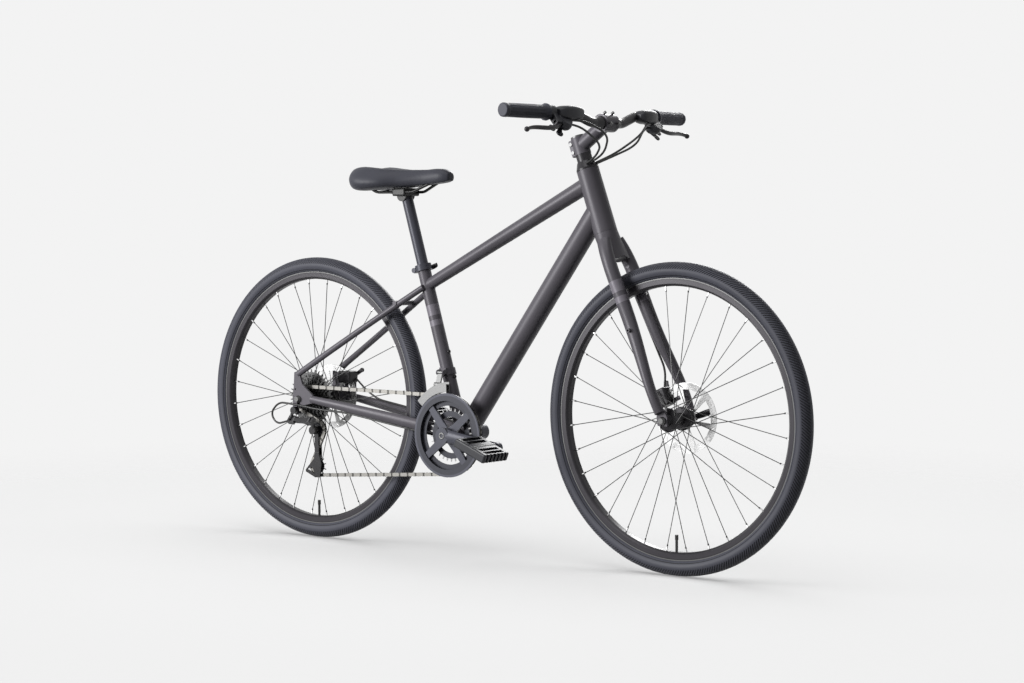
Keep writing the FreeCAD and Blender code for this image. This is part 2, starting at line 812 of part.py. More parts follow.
def build_rotor(name, place, face):
    """A steel disc with a slotted brake track on six arms."""
    body = padded_body(name, S.rotor_thickness, ("circle", S.rotor_radius), ("circle", S.rotor_bore))
    track = S.rotor_radius - S.rotor_track
    root = S.hub_shell_radius * 1.7

    def pocket(label, copies, corners):
        sketch = sketch_on(body, f"{name}_{label}", "XZ", [corners])
        cut = body.newObject("PartDesign::Pocket", f"{name}_{label}_cut")
        cut.Profile = sketch
        cut.Type = "ThroughAll"
        cut.SideType = "Symmetric"
        pattern = body.newObject("PartDesign::PolarPattern", f"{name}_{label}_pattern")
        pattern.Originals = [cut]
        pattern.Axis = (body.Origin.OriginFeatures[1], [""])
        pattern.Occurrences = copies
        pattern.Angle = 360
        body.Tip = pattern

    def polar(radius, degrees):
        turn = math.radians(degrees)
        return (radius * math.cos(turn), radius * math.sin(turn))

    pocket("window", 6, [polar(root, -14), polar(track, -8), polar(track, 8), polar(track, 24),
                         polar(track, 40), polar(root, 34)])
    pocket("slot", 18, [polar(track + 4, -1.5), polar(S.rotor_radius - 4, 4.5),
                        polar(S.rotor_radius - 4, 7.0), polar(track + 4, 1.5)])
    body.Placement = Placement(place.Base + Y_AXIS * (face.value + N.rotor_thickness / 2), Rotation())
    return named(body, name)


for side, place, flanges in (
        ("front", front_place, (N.front_flange_right, N.front_flange_left)),
        ("rear", rear_place, (N.rear_flange_right, N.rear_flange_left))):
    build_tyre(f"{side}_tyre", place)
    build_rim(f"{side}_rim", place)
    build_spokes(f"{side}_spokes", place, *flanges)
build_front_hub()
build_rear_hub()
build_axle("front_axle", front_place, S.front_axle_width)
build_axle("rear_axle", rear_place, S.rear_axle_width)
build_quick_lever("front_quick_lever", front_place, N.front_axle_width, FRONT_LEVER_LEAN)
build_quick_lever("rear_quick_lever", rear_place, N.rear_axle_width, REAR_LEVER_LEAN)
build_rotor("front_rotor", front_place, front_rotor_face)
build_rotor("rear_rotor", rear_place, rear_rotor_face)

# Fork, headset and stem

fork_inner = N.front_axle_width / 2
fork_outer = fork_inner + N.dropout_thickness
crown_top = head_low - N.head_gap
stem_base = head_top + N.head_gap + N.cover_height + N.spacer_height
LEG_TOP_AHEAD = 12.0
LEG_LOW = V(-6, -58, 17)
FORK_EYELET_SHARE = 0.47


def leg_point(share):
    """A point on the right leg's centre line: 0 at the crown and 1 at the dropout."""
    top = on_steerer(head_low - N.crown_drop + 6, LEG_TOP_AHEAD, -N.leg_spread_top)
    return top + (front_axle_point + LEG_LOW - top) * share


def fork_leg():
    top, low = leg_point(0), leg_point(1)
    middle_radius = (N.leg_radius_top + N.leg_radius_low) / 2
    radii = [N.leg_radius_top, N.leg_radius_top, middle_radius, N.leg_radius_low]
    shoulder = on_steerer(crown_top - 20, 6, -24)
    stations = [(shoulder, top - shoulder, 13.0, 18.0)]
    for share, radius in zip((0.0, 0.2, 0.6, 1.0), radii):
        stations.append((leg_point(share), low - top, radius, radius * 1.1))
    leg = oval_loft(stations)
    near = front_axle_point
    tab = slab([(near.x + x, near.z + z) for x, z in
                ((-16, 26), (3, 24), (12, 6), (12, -12), (-13, -12), (-16, 4))], -fork_outer, -fork_inner)
    slot_radius = N.axle_radius + N.dropout_fit
    tab = tab.cut(cylinder(near - Y_AXIS * 80, near, slot_radius))
    tab = tab.cut(block(near + V(0, -53, -10), X_AXIS, Y_AXIS, 2 * slot_radius, 40, 20))
    boss_at = leg_point(FORK_EYELET_SHARE)
    boss = cylinder(boss_at, boss_at - Y_AXIS * (N.leg_radius_top + 2), N.boss_radius)
    hole = cylinder(boss_at - Y_AXIS * 4, boss_at - Y_AXIS * 40, N.eyelet_bore)
    return leg.fuse([tab, boss]).cut(hole)


def build_fork():
    crown = oval_loft([
        (on_steerer(crown_top), -head_up, N.head_tube_low_radius, N.head_tube_low_radius),
        (on_steerer(crown_top - 24, 3), -head_up, 33.0, 25.0),
        (on_steerer(head_low - N.crown_drop, LEG_TOP_AHEAD), -head_up,
         N.leg_spread_top + N.leg_radius_top, N.leg_radius_top + 2),
    ])
    steerer_end = on_steerer(stem_base + N.stem_height - 2)
    steerer = cylinder(on_steerer(crown_top - 10), steerer_end, N.steerer_radius)
    bore = cylinder(on_steerer(crown_top - 8), on_steerer(stem_base + N.stem_height),
                    N.steerer_radius - N.steerer_wall)
    right = fork_leg()
    left = mirrored(right)
    posts = caliper_posts(front_caliper_point, FRONT_CALIPER_LEAN, 34.0)
    whole = crown.fuse([steerer, right, left] + posts).cut(bore)
    arch = on_steerer(head_low - N.crown_drop - 16, LEG_TOP_AHEAD)
    gap = oval_loft([(arch + head_ahead * reach, head_ahead, 25.0, 22.0) for reach in (-60, 60)])
    return feature("fork", whole.cut(gap).removeSplitter())


def build_headset():
    bore = S.steerer_radius + S.running_fit
    rings = []
    for start in (head_low, head_top - N.bearing_height):
        rings.append(pipe_ring(on_steerer(start), on_steerer(start + N.bearing_height), N.bearing_radius,
                               bore.value))
    feature("headset_bearings", Part.makeCompound(rings))
    low = S.fork_length + S.head_tube_length + S.head_gap
    turned("headset_cover", steer_place, [
        (bore, low), (S.head_tube_radius, low), (S.head_tube_radius, low + S.cover_height * 0.2),
        (S.spacer_radius + 2, low + S.cover_height), (S.spacer_radius, low + S.cover_height),
        (S.spacer_radius, low + S.cover_height + S.spacer_height),
        (bore, low + S.cover_height + S.spacer_height),
    ])


stem_turn = math.radians(N.stem_rise)
stem_along = head_ahead * math.cos(stem_turn) + head_up * math.sin(stem_turn)
stem_middle = on_steerer(stem_base + N.stem_height / 2)
bar_point = stem_middle + stem_along * N.stem_reach
stem_up = stem_along.cross(Y_AXIS).normalize()
PINCH_BEHIND = 21.0
PINCH_HEIGHTS = (10.0, 30.0)
FACE_BOLTS = ((-15.0, 15.0), (15.0, 15.0), (-15.0, -15.0), (15.0, -15.0))


def build_stem():
    clamp_radius = N.steerer_radius + N.stem_wall
    bar_radius = N.bar_clamp_radius + N.stem_wall
    half_bar = Y_AXIS * (N.bar_clamp_width / 2)
    clamp = cylinder(on_steerer(stem_base), on_steerer(stem_base + N.stem_height), clamp_radius)
    lug = soft_block(on_steerer(stem_base + N.stem_height / 2, -PINCH_BEHIND + 4), head_up, Y_AXIS,
                     N.stem_height, 22, 16, 3)
    arm = cone(stem_middle, bar_point, N.stem_tube_radius + 1, N.stem_tube_radius)
    head = cylinder(bar_point - half_bar, bar_point + half_bar, bar_radius)
    whole = clamp.fuse([lug, arm, head])
    steerer_hole = cylinder(on_steerer(stem_base - 1), on_steerer(stem_base + N.stem_height + 1),
                            N.steerer_radius + N.running_fit)
    hole_radius = N.bar_clamp_radius + N.running_fit
    bar_hole = cylinder(bar_point - half_bar * 2, bar_point + half_bar * 2, hole_radius)
    slit = block(on_steerer(stem_base + N.stem_height / 2, -PINCH_BEHIND), head_up, Y_AXIS, 60, 2, 30)
    plate_gap = block(bar_point + stem_along * 2, stem_up, Y_AXIS, 60, 60, 1.2)
    whole = whole.cut([steerer_hole, bar_hole, slit, plate_gap])
    return feature("stem", whole)


def build_stem_bolts(stem):
    """Two pinch bolts behind the steerer, four in the face plate, and the top cap with its bolt."""
    solids = []
    for height in PINCH_HEIGHTS:
        at = on_steerer(stem_base + height, -PINCH_BEHIND + 4)
        solids.append(cylinder(at - Y_AXIS * 11, at - Y_AXIS * 15, 4.0))
    for y, rise in FACE_BOLTS:
        seat = bar_point + stem_along * (N.bar_clamp_radius + N.stem_wall - 5) + Y_AXIS * y + stem_up * rise
        solids.append(cylinder(seat, seat + stem_along * 6, 3.4))
    top = stem_base + N.stem_height
    cap = cylinder(on_steerer(top), on_steerer(top + 4), N.steerer_radius + N.stem_wall - 1)
    solids.append(cap.fuse(cylinder(on_steerer(top + 4), on_steerer(top + 6), 4.5)))
    bodies = [solid.cut(stem.Shape) for solid in solids]
    return feature("stem_bolts", Part.makeCompound([largest(body) for body in bodies]))


# Handlebar and what it carries

BAR_STRAIGHT = 58.0
BAR_BEND = 116.0
bar_tip_y = N.bar_half_width - 3
RIGHT, LEFT = -1, 1


def bar_corner(side, y, back, rise):
    return bar_point + V(-back, side * y, rise)


def bar_end(side):
    return bar_corner(side, bar_tip_y, N.bar_sweep, N.bar_rise)


def bar_knee(side):
    return bar_corner(side, BAR_BEND, N.bar_sweep * 0.12, N.bar_rise * 0.92)


def bar_route():
    return [bar_end(RIGHT), bar_knee(RIGHT), bar_corner(RIGHT, BAR_STRAIGHT, 0, 0),
            bar_corner(LEFT, BAR_STRAIGHT, 0, 0), bar_knee(LEFT), bar_end(LEFT)]


def build_handlebar():
    outside = hose(bar_route(), N.bar_radius, 70.0)
    inside = hose(bar_route(), N.bar_radius - N.bar_wall, 70.0)
    middle = Y_AXIS * (N.bar_clamp_width / 2)
    taper = Y_AXIS * (BAR_STRAIGHT - 12)
    clamp = cylinder(bar_point - middle, bar_point + middle, N.bar_clamp_radius)
    right = cone(bar_point - middle, bar_point - taper, N.bar_clamp_radius, N.bar_radius)
    left = cone(bar_point + middle, bar_point + taper, N.bar_clamp_radius, N.bar_radius)
    return feature("handlebar", outside.fuse([clamp, right, left]).cut(inside))


def on_bar(side, from_end):
    """A point on the straight outer run of the bar, and the direction outwards along it."""
    outward = (bar_end(side) - bar_knee(side)).normalize()
    return bar_end(side) - outward * from_end, outward


def build_grips():
    """Two grips, each with a thumb flange at its inner end and a closed outer end."""
    solids = []
    for side in (RIGHT, LEFT):
        tip, outward = on_bar(side, 0)
        inner, _ = on_bar(side, N.grip_length)
        bore = N.bar_radius + N.running_fit
        sleeve = cylinder(inner, tip + outward * 3, N.grip_radius)
        flange = cylinder(inner, inner + outward * 4, N.grip_flange_radius)
        grip = sleeve.fuse(flange).cut(cylinder(inner, tip + outward * N.running_fit, bore))
        solids.append(grip.removeSplitter())
    return feature("grips", Part.makeCompound(solids))


DROOP = math.radians(48)
reach_way = V(math.cos(DROOP), 0, -math.sin(DROOP))
PERCH_GAP = 3.0
PERCH_LENGTH = 16.0
PIVOT_REACH = 34.0
POD_INWARD = 26.0
POD_REACH = 27.0
POD_HALF = 11.0


def control_frame(side):
    """The perch's place on the bar, the way outwards, the way to the lever and the lever's pivot axis."""
    at, outward = on_bar(side, N.grip_length + PERCH_GAP + PERCH_LENGTH / 2)
    reach = (reach_way - outward * outward.dot(reach_way)).normalize()
    axis = outward.cross(reach) * side
    return at, outward, reach, axis


def lever_pivot(side):
    at, outward, reach, _ = control_frame(side)
    return at + reach * PIVOT_REACH - outward * 4


def pod_centre(side):
    at, outward, reach, _ = control_frame(side)
    return at - outward * POD_INWARD + reach * POD_REACH


def control_unit(side):
    """The brake perch clamped on the bar, with the shifter's pod moulded to it."""
    at, outward, reach, axis = control_frame(side)
    half = outward * (PERCH_LENGTH / 2)
    band = cylinder(at - half, at + half, N.bar_radius + 5)
    pivot = lever_pivot(side)
    arm = soft_block(at + reach * 20 - outward * 4, reach, axis, 34, 19, 15, 3)
    fork_gap = cylinder(pivot - axis * 5, pivot + axis * 5, 11.0)
    pod = oval_loft([
        (pod_centre(side) - axis * POD_HALF, axis, 15.0, 19.0, outward),
        (pod_centre(side), axis, 18.0, 23.0, outward),
        (pod_centre(side) + axis * POD_HALF, axis, 14.0, 18.0, outward),
    ])
    neck = block(at - outward * 15 + reach * 20, outward, axis, 26, 12, 16)
    pin = cylinder(pivot - axis * 9, pivot + axis * 9, 2.5)
    whole = band.fuse([arm, neck, pod]).cut(fork_gap).fuse(pin)
    bore = cylinder(at - half * 4, at + half * 3, N.bar_radius + N.running_fit)
    return largest(whole.cut([bore, handlebar_part.Shape]).removeSplitter())


def build_brake_lever(name, side):
    """A blade that lies in front of the grip and turns on the perch's pin."""
    _, outward, reach, axis = control_frame(side)
    pivot = lever_pivot(side)
    length = N.lever_length
    root = cylinder(pivot - axis * 4.6, pivot + axis * 4.6, 8.0)
    blade = oval_loft([
        (pivot + reach * 3, outward, 4.4, 6.0, axis),
        (pivot + outward * length * 0.25 + reach * 14, outward, 5.0, 5.0, axis),
        (pivot + outward * length * 0.65 + reach * 15, outward, 5.5, 4.0, axis),
        (pivot + outward * length + reach * 22, outward, 4.0, 3.5, axis),
    ])
    ball = Part.makeSphere(6.0, pivot + outward * length + reach * 22)
    hole = cylinder(pivot - axis * 20, pivot + axis * 20, 2.5 + N.running_fit)
    return feature(name, root.fuse([blade, ball]).cut(hole).removeSplitter())


PADDLE_GAP = 0.3
PADDLE_THICKNESS = 3.0


def build_paddle(name, side, layer, length, swing):
    """A thumb paddle under the shifter's pod, turning about the pod's own axis."""
    _, outward, reach, axis = control_frame(side)
    depth = POD_HALF + PADDLE_GAP + layer * (PADDLE_THICKNESS + PADDLE_GAP)
    start = pod_centre(side) + axis * depth
    turn = math.radians(swing)
    along = outward * math.cos(turn) + reach * math.sin(turn)
    beside = axis.cross(along)
    disc = cylinder(start, start + axis * PADDLE_THICKNESS, 9.0)
    middle = start + axis * (PADDLE_THICKNESS / 2)
    blade = block(middle + along * length / 2, along, beside, length, 11.0, PADDLE_THICKNESS)
    tip = cylinder(start + along * length, start + along * length + axis * PADDLE_THICKNESS, 8.5)
    return feature(name, disc.fuse([blade, tip]).removeSplitter())


# Disc brake calipers: the front one behind the left leg, the rear one on the left chainstay


def build_caliper(name, centre, axle, lean):
    """A caliper body with a slot for the rotor, its two pads and the cable stop."""
    up = V(math.sin(math.radians(lean)), 0, math.cos(math.radians(lean)))
    body = soft_block(centre, up, Y_AXIS, N.caliper_length, N.caliper_width, N.caliper_depth, 5)
    opening = N.rotor_thickness + 2 * (N.pad_gap + N.pad_thickness)
    slot = block(centre, up, Y_AXIS, N.caliper_length - 10, opening, N.caliper_depth - 5)
    rotor_half = Y_AXIS * (N.rotor_thickness / 2 + N.pad_gap + 1)
    hub = V(axle.x, centre.y, axle.z)
    rotor_slot = cylinder(hub - rotor_half, hub + rotor_half, N.rotor_radius + 3)
    side_face = centre + Y_AXIS * (N.caliper_width / 2)
    barrel = cylinder(side_face - Y_AXIS * 2, side_face + Y_AXIS * 2, 11.0)
    body = body.fuse(barrel).cut([slot, rotor_slot])
    pads = []
    for side in (-1, 1):
        offset = N.rotor_thickness / 2 + N.pad_gap + N.pad_thickness / 2
        pads.append(block(centre + Y_AXIS * side * offset, up, Y_AXIS, N.caliper_length - 11,
                          N.pad_thickness, N.caliper_depth - 6))
    return feature(name, Part.makeCompound(list(body.Solids) + pads))


CALIPER_ARM = 34.0


def build_caliper_arm(name, centre, lean):
    """The arm that the cable pulls, on the outside of the caliper."""
    along = V(math.sin(math.radians(lean)), 0, math.cos(math.radians(lean)))
    beside = Y_AXIS.cross(along)
    start = centre + Y_AXIS * (N.caliper_width / 2 + 2 + PADDLE_GAP)
    thick = Y_AXIS * 4.0
    hub = cylinder(start, start + thick, 9.0)
    blade = block(start + thick / 2 + along * CALIPER_ARM / 2, along, beside, CALIPER_ARM, 9.0, 4.0)
    tip = cylinder(start + along * CALIPER_ARM, start + along * CALIPER_ARM + thick, 5.5)
    return feature(name, hub.fuse([blade, tip]).removeSplitter())


build_fork()
build_headset()
build_stem_bolts(build_stem())
handlebar_part = build_handlebar()
build_grips()
feature("control_units", Part.makeCompound([control_unit(RIGHT), control_unit(LEFT)]))
for word, side in (("right", RIGHT), ("left", LEFT)):
    build_brake_lever(f"{word}_brake_lever", side)
    build_paddle(f"{word}_shift_lever", side, 0, 34.0, 15)
    build_paddle(f"{word}_release_lever", side, 1, 26.0, 55)
build_caliper("front_caliper", front_caliper_point, front_axle_point, FRONT_CALIPER_LEAN)
build_caliper("rear_caliper", rear_caliper_point, rear_axle_point, REAR_CALIPER_LEAN)
build_caliper_arm("front_caliper_arm", front_caliper_point, -20)
build_caliper_arm("rear_caliper_arm", rear_caliper_point, 60)

# Seat: post, clamp, rails and saddle

post_top = seat_top + N.post_exposed
RAIL_HEIGHT = 862.0
CLAMP_LENGTH = 40.0
CLAMP_HEIGHT = 19.0


def build_seatpost():
    outer, inner = S.seat_post_radius, S.seat_post_radius - S.post_wall
    low, high = S.seat_tube_length - S.post_insertion, S.seat_tube_length + S.post_exposed
    cap = high - S.post_wall * 2
    return turned("seatpost", seat_place, [
        (inner, low), (outer, low), (outer, high), (0, high), (0, cap), (inner, cap),
    ])


# Each station: share of the length from the rear, half width as a share, and the heights below the top
# of the crown, of the widest edge and of the underside.
SADDLE_STATIONS = (
    (0.00, 0.50, 12.0, 24.0, 34.0),
    (0.06, 0.84, 4.0, 20.0, 38.0),
    (0.20, 1.00, -1.0, 20.0, 42.0),
    (0.38, 0.84, 1.0, 22.0, 43.0),
    (0.56, 0.50, 4.0, 22.0, 42.0),
    (0.76, 0.31, 3.0, 20.0, 38.0),
    (0.93, 0.26, 4.0, 18.0, 34.0),
    (1.00, 0.15, 10.0, 20.0, 28.0),
)


def saddle_section(share, width, crown, edge, under):
    """A closed outline across the saddle: a flat underside, two round sides and a crowned top."""
    x = bracket_point.x - N.saddle_setback + share * N.saddle_length
    half = width * N.saddle_width / 2
    top, side, low = (N.saddle_height - drop for drop in (crown, edge, under))
    shoulder = (top * 0.78 + side * 0.22, half * 0.72)
    sides = []
    for sign in (1, -1):
        foot = V(x, sign * half * 0.8, low)
        sides.append((foot, V(x, sign * half, side), V(x, sign * shoulder[1], shoulder[0])))
    right, left = sides
    return Part.Wire([
        Part.LineSegment(left[0], right[0]).toShape(),
        Part.Arc(*right).toShape(),
        Part.Arc(right[2], V(x, 0, top), left[2]).toShape(),
        Part.Arc(left[2], left[1], left[0]).toShape(),
    ])


def build_saddle():
    pad = Part.makeLoft([saddle_section(*station) for station in SADDLE_STATIONS], True, False)
    rear = bracket_point.x - N.saddle_setback
    groove_top = N.saddle_height + 3
    channel = oval_loft([
        (V(rear + 0.10 * N.saddle_length, 0, groove_top), X_AXIS, 9.0, 3.5),
        (V(rear + 0.45 * N.saddle_length, 0, groove_top - 2), X_AXIS, 12.0, 8.0),
        (V(rear + 0.80 * N.saddle_length, 0, groove_top - 1), X_AXIS, 6.0, 3.5),
    ])
    return feature("saddle", pad.cut(channel))


def saddle_rails(saddle):
    x = bracket_point.x - N.saddle_setback
    half = N.rail_spacing / 2
    rails = []
    for sign in (RIGHT, LEFT):
        route = [V(x + 24, sign * (half + 6), 889), V(x + 56, sign * half, RAIL_HEIGHT),
                 V(x + 174, sign * half, RAIL_HEIGHT), V(x + 246, sign * (half - 13), 892)]
        rail = hose(route, N.rail_radius, 40.0).cut(saddle.Shape)
        rails.append(largest(rail))
    return rails


def saddle_clamp():
    """The clamp that holds the rails on the post, with its bolt."""
    top = on_seat_tube(post_top)
    centre = V(top.x - 4, 0, RAIL_HEIGHT)
    half = N.rail_spacing / 2
    clamp = soft_block(centre, X_AXIS, Y_AXIS, CLAMP_LENGTH, N.rail_spacing + 14, CLAMP_HEIGHT, 4)
    cradle = cylinder(centre - Y_AXIS * 17 - Z_AXIS * 8, centre + Y_AXIS * 17 - Z_AXIS * 8, 14.0)
    cradle = cradle.common(block(centre - Z_AXIS * 12, X_AXIS, Y_AXIS, 40, 40, 24))
    holes = [cylinder(centre + V(-60, sign * half, 0), centre + V(60, sign * half, 0),
                      N.rail_radius + N.running_fit) for sign in (RIGHT, LEFT)]
    post = cylinder(on_seat_tube(post_top - 80), top, N.seat_post_radius)
    bolt = cylinder(centre - Z_AXIS * 22 + X_AXIS * 17, centre - Z_AXIS * 9 + X_AXIS * 17, 3.0)
    whole = clamp.fuse([cradle, bolt]).cut(holes + [post])
    return largest(whole)


COLLAR_LUG = 26.0
COLLAR_PIVOT_Y = 15.5


def build_seat_collar():
    """A slit ring round the top of the seat tube, with the skewer's lug behind it."""
    low, high = seat_top - N.collar_height, seat_top
    bore = N.seat_tube_radius + N.running_fit
    ring = cylinder(on_seat_tube(low), on_seat_tube(high), bore + N.collar_wall)
    middle = (low + high) / 2
    lug = block(on_seat_tube(middle, -COLLAR_LUG + 6), seat_up, Y_AXIS, 12, 16, 14)
    slit = block(on_seat_tube(middle, -COLLAR_LUG), seat_up, Y_AXIS, 40, 2, 30)
    ring = ring.fuse(lug).cut([cylinder(on_seat_tube(low - 5), on_seat_tube(high + 5), bore), slit])
    at = on_seat_tube(middle, -COLLAR_LUG + 4)
    nut = cylinder(at - Y_AXIS * 8, at - Y_AXIS * 13, 6.0)
    head = cylinder(at + Y_AXIS * 8, at + Y_AXIS * (COLLAR_PIVOT_Y - 4.5 - N.head_gap), 5.0)
    return feature("seat_collar", Part.makeCompound([ring, nut, head]))


def build_seat_lever():
    """The lever that closes the collar, lying forward round its left side."""
    middle = seat_top - N.collar_height / 2
    pivot = on_seat_tube(middle, -COLLAR_LUG + 4, COLLAR_PIVOT_Y)
    ahead = V(math.sin(seat_turn), 0, math.cos(seat_turn))
    root = cylinder(pivot - seat_up * 6, pivot + seat_up * 6, 4.5)

    def at(forward, y):
        return on_seat_tube(middle, forward, y)

    blade = oval_loft([
        (pivot + ahead * 2, ahead + Y_AXIS * 0.5, 2.6, 5.0, Y_AXIS),
        (at(-6, 25.5), ahead, 2.2, 5.5, Y_AXIS),
        (at(12, 26), ahead - Y_AXIS * 0.2, 2.0, 6.0, Y_AXIS),
        (at(26, 20.5), ahead - Y_AXIS * 0.5, 1.8, 5.0, Y_AXIS),
    ])
    return feature("seat_clamp_lever", root.fuse(blade))


build_seatpost()
saddle_part = build_saddle()
feature("saddle_rails", Part.makeCompound(saddle_rails(saddle_part) + [saddle_clamp()]))
build_seat_collar()
build_seat_lever()

# Drivetrain. In the chain's own plane, places are given as (x, z).

chain_y = -N.chain_line


def in_chain_plane(x, z, y=None):
    return V(x, chain_y if y is None else y, z)


def pitch_radius(teeth):
    return N.chain_pitch / (2 * math.sin(math.pi / teeth))


def flat(point):
    return V(point.x, point.z, 0)


def gear(teeth, phase, thickness, bore, centre):
    """A sprocket square to Y about a centre, with a tooth gap at the phase angle."""
    reach = pitch_radius(teeth)
    root = reach - N.roller_radius - N.roller_clearance
    tip = reach + N.tooth_rise
    step = 2 * math.pi / teeth
    gap_half = (N.roller_radius + N.roller_clearance) / root
    tip_half = N.tooth_tip_half / tip
    corners = []
    for tooth in range(teeth):
        gap = phase + tooth * step
        for radius, angle in ((root, gap - gap_half), (root, gap + gap_half),
                              (tip, gap + step / 2 - tip_half), (tip, gap + step / 2 + tip_half)):
            corners.append((centre.x + radius * math.cos(angle), centre.z + radius * math.sin(angle)))
    half = thickness / 2
    disc = slab(corners, centre.y - half, centre.y + half)
    return disc.cut(cylinder(centre - Y_AXIS * thickness, centre + Y_AXIS * thickness, bore))


class ChainPath:
    """The closed line of the chain's rollers, round sprockets given as (centre, radius, sense)."""

    def __init__(self, wheels):
        self.pieces = []
        self.length = 0.0
        leaves = []
        for (start, radius, sense), (end, end_radius, end_sense) in zip(wheels, wheels[1:] + wheels[:1]):
            gap = end - start
            lean = math.asin((end_radius * end_sense - radius * sense) / gap.Length)
            turn = math.atan2(gap.y, gap.x) + lean
            right = V(math.sin(turn), -math.cos(turn), 0)
            leaves.append((start - right * radius * sense, end - right * end_radius * end_sense))
        for index, (centre, radius, sense) in enumerate(wheels):
            arrive, leave = leaves[index - 1][1], leaves[index][0]
            first = math.atan2(arrive.y - centre.y, arrive.x - centre.x)
            last = math.atan2(leave.y - centre.y, leave.x - centre.x)
            swept = ((first - last) * sense) % (2 * math.pi)
            self.add(("arc", centre, radius, first, -sense, index), radius * swept)
            self.add(("run", leave, (leaves[index][1] - leave).normalize()),
                     (leaves[index][1] - leave).Length)

    def add(self, piece, length):
        self.pieces.append((self.length, piece))
        self.length += length

    def piece_at(self, place):
        place = place % self.length
        return max((piece for piece in self.pieces if piece[0] <= place), key=lambda piece: piece[0])

    def point(self, place):
        start, piece = self.piece_at(place)
        along = place % self.length - start
        if piece[0] == "run":
            return piece[1] + piece[2] * along
        _, centre, radius, first, sense, _ = piece
        angle = first + sense * along / radius
        return centre + V(math.cos(angle), math.sin(angle), 0) * radius

    def next_place(self, place):
        """The place one pitch further on, measured straight from pin to pin."""
        here = self.point(place)
        low, high = place + N.chain_pitch * 0.95, place + N.chain_pitch * 1.08
        for _ in range(40):
            middle = (low + high) / 2
            if (self.point(middle) - here).Length < N.chain_pitch:
                low = middle
            else:
                high = middle
        return (low + high) / 2

    def walk(self, links):
        places = [0.0]
        for _ in range(links):
            places.append(self.next_place(places[-1]))
        return places


guide_point = in_chain_plane(rear_axle_point.x + N.guide_x, rear_axle_point.z - N.guide_drop)
CLOCKWISE, COUNTER = 1, -1
cog_teeth = COGS[int(N.cog_in_use)]
CAGE_LEAN_LIMITS = (-14.0, 20.0)


def tension_point(lean):
    turn = math.radians(lean)
    return guide_point + V(-math.sin(turn), 0, -math.cos(turn)) * N.cage_length


def chain_path(lean):
    pulley = pitch_radius(int(N.pulley_teeth))
    return ChainPath([
        (flat(rear_axle_point), pitch_radius(cog_teeth), CLOCKWISE),
        (flat(bracket_point), pitch_radius(int(N.outer_ring_teeth)), CLOCKWISE),
        (flat(tension_point(lean)), pulley, CLOCKWISE),
        (flat(guide_point), pulley, COUNTER),
    ])


def fit_chain():
    """Swing the cage until a whole, even number of links closes the loop."""
    middle = chain_path(sum(CAGE_LEAN_LIMITS) / 2)
    links = 2 * round(middle.length / N.chain_pitch / 2)
    low, high = CAGE_LEAN_LIMITS

    def excess(lean):
        path = chain_path(lean)
        return path.walk(links)[-1] - path.length

    rising = excess(high) > excess(low)
    for _ in range(40):
        lean = (low + high) / 2
        if (excess(lean) < 0) == rising:
            low = lean
        else:
            high = lean
    return lean, links


cage_lean, link_count = fit_chain()
path = chain_path(cage_lean)
roller_places = path.walk(link_count)[:-1]
rollers = [path.point(place) for place in roller_places]
print(f"chain: {link_count} links, cage leans {cage_lean:.2f} degrees")
tension_pulley_point = tension_point(cage_lean)


def phase_on(wheel):
    """The angle of the first roller on a sprocket."""
    for place, roller in zip(roller_places, rollers):
        _, piece = path.piece_at(place)
        if piece[0] == "arc" and piece[5] == wheel:
            return math.atan2(roller.y - piece[1].y, roller.x - piece[1].x)
    raise ValueError("no roller lies on the sprocket")


COG, RING, TENSION, GUIDE = range(4)


def build_chain():
    """Inner and outer links by turns, and a roller on every pin."""
    solids = []
    half = N.plate_height / 2
    inner_face = N.plate_inner_gap / 2
    outer_face = inner_face + N.plate_thickness + 0.1
    for index, here in enumerate(rollers):
        there = rollers[(index + 1) % link_count]
        along = (there - here).normalize()
        up = V(-along.y, along.x, 0)
        ends = [(-half * 0.7, -half), (N.chain_pitch + half * 0.7, -half), (N.chain_pitch + half, 0),
                (N.chain_pitch + half * 0.7, half), (-half * 0.7, half), (-half, 0)]
        outline = [here + along * u + up * v for u, v in ends]
        face = outer_face if index % 2 else inner_face
        for side in (-1, 1):
            near = chain_y + side * face
            far = near + side * N.plate_thickness
            solids.append(slab([(point.x, point.y) for point in outline], min(near, far), max(near, far)))
        seat = in_chain_plane(here.x, here.y)
        solids.append(prism(seat - Y_AXIS * inner_face, seat + Y_AXIS * inner_face, N.roller_radius))
    return feature("chain", Part.makeCompound(solids))


def build_cassette():
    """Eight cogs on their spacers, held by a lockring."""
    bore = N.freehub_radius + N.running_fit
    solids = []
    for index, teeth in enumerate(COGS):
        y = chain_y + N.cog_spacing * (index - N.cog_in_use)
        centre = rear_axle_point + Y_AXIS * y
        phase = phase_on(COG) if index == int(N.cog_in_use) else 0.0
        solids.append(gear(teeth, phase, N.sprocket_thickness, bore, centre))
        if index:
            gap = Y_AXIS * (N.sprocket_thickness / 2)
            solids.append(pipe_ring(centre - Y_AXIS * N.cog_spacing + gap, centre - gap, bore + 1.6, bore))
    outer = rear_axle_point - Y_AXIS * cassette_outer.value
    solids.append(pipe_ring(outer, outer - Y_AXIS * N.lockring_thickness, bore + 1.6, bore))
    return feature("cassette", Part.makeCompound(solids))


ring_inner_face = -(N.chain_line - N.sprocket_thickness / 2)
ring_outer_face = -(N.chain_line + N.sprocket_thickness / 2)
spider_inner = ring_outer_face - 0.2
spider_outer = spider_inner - 5.8
guard_outer = spider_outer - N.guard_thickness
crank_turn = math.radians(N.crank_angle)
crank_way = V(math.cos(crank_turn), 0, math.sin(crank_turn))
BOSS_RADIUS = 19.0
EYE_RADIUS = 13.0
ARM_SPLAY = 10.0
SPIDER_ARMS = 4


def about_bracket(shape, degrees):
    turned_shape = shape.copy()
    turned_shape.rotate(bracket_point, -Y_AXIS, degrees)
    return turned_shape


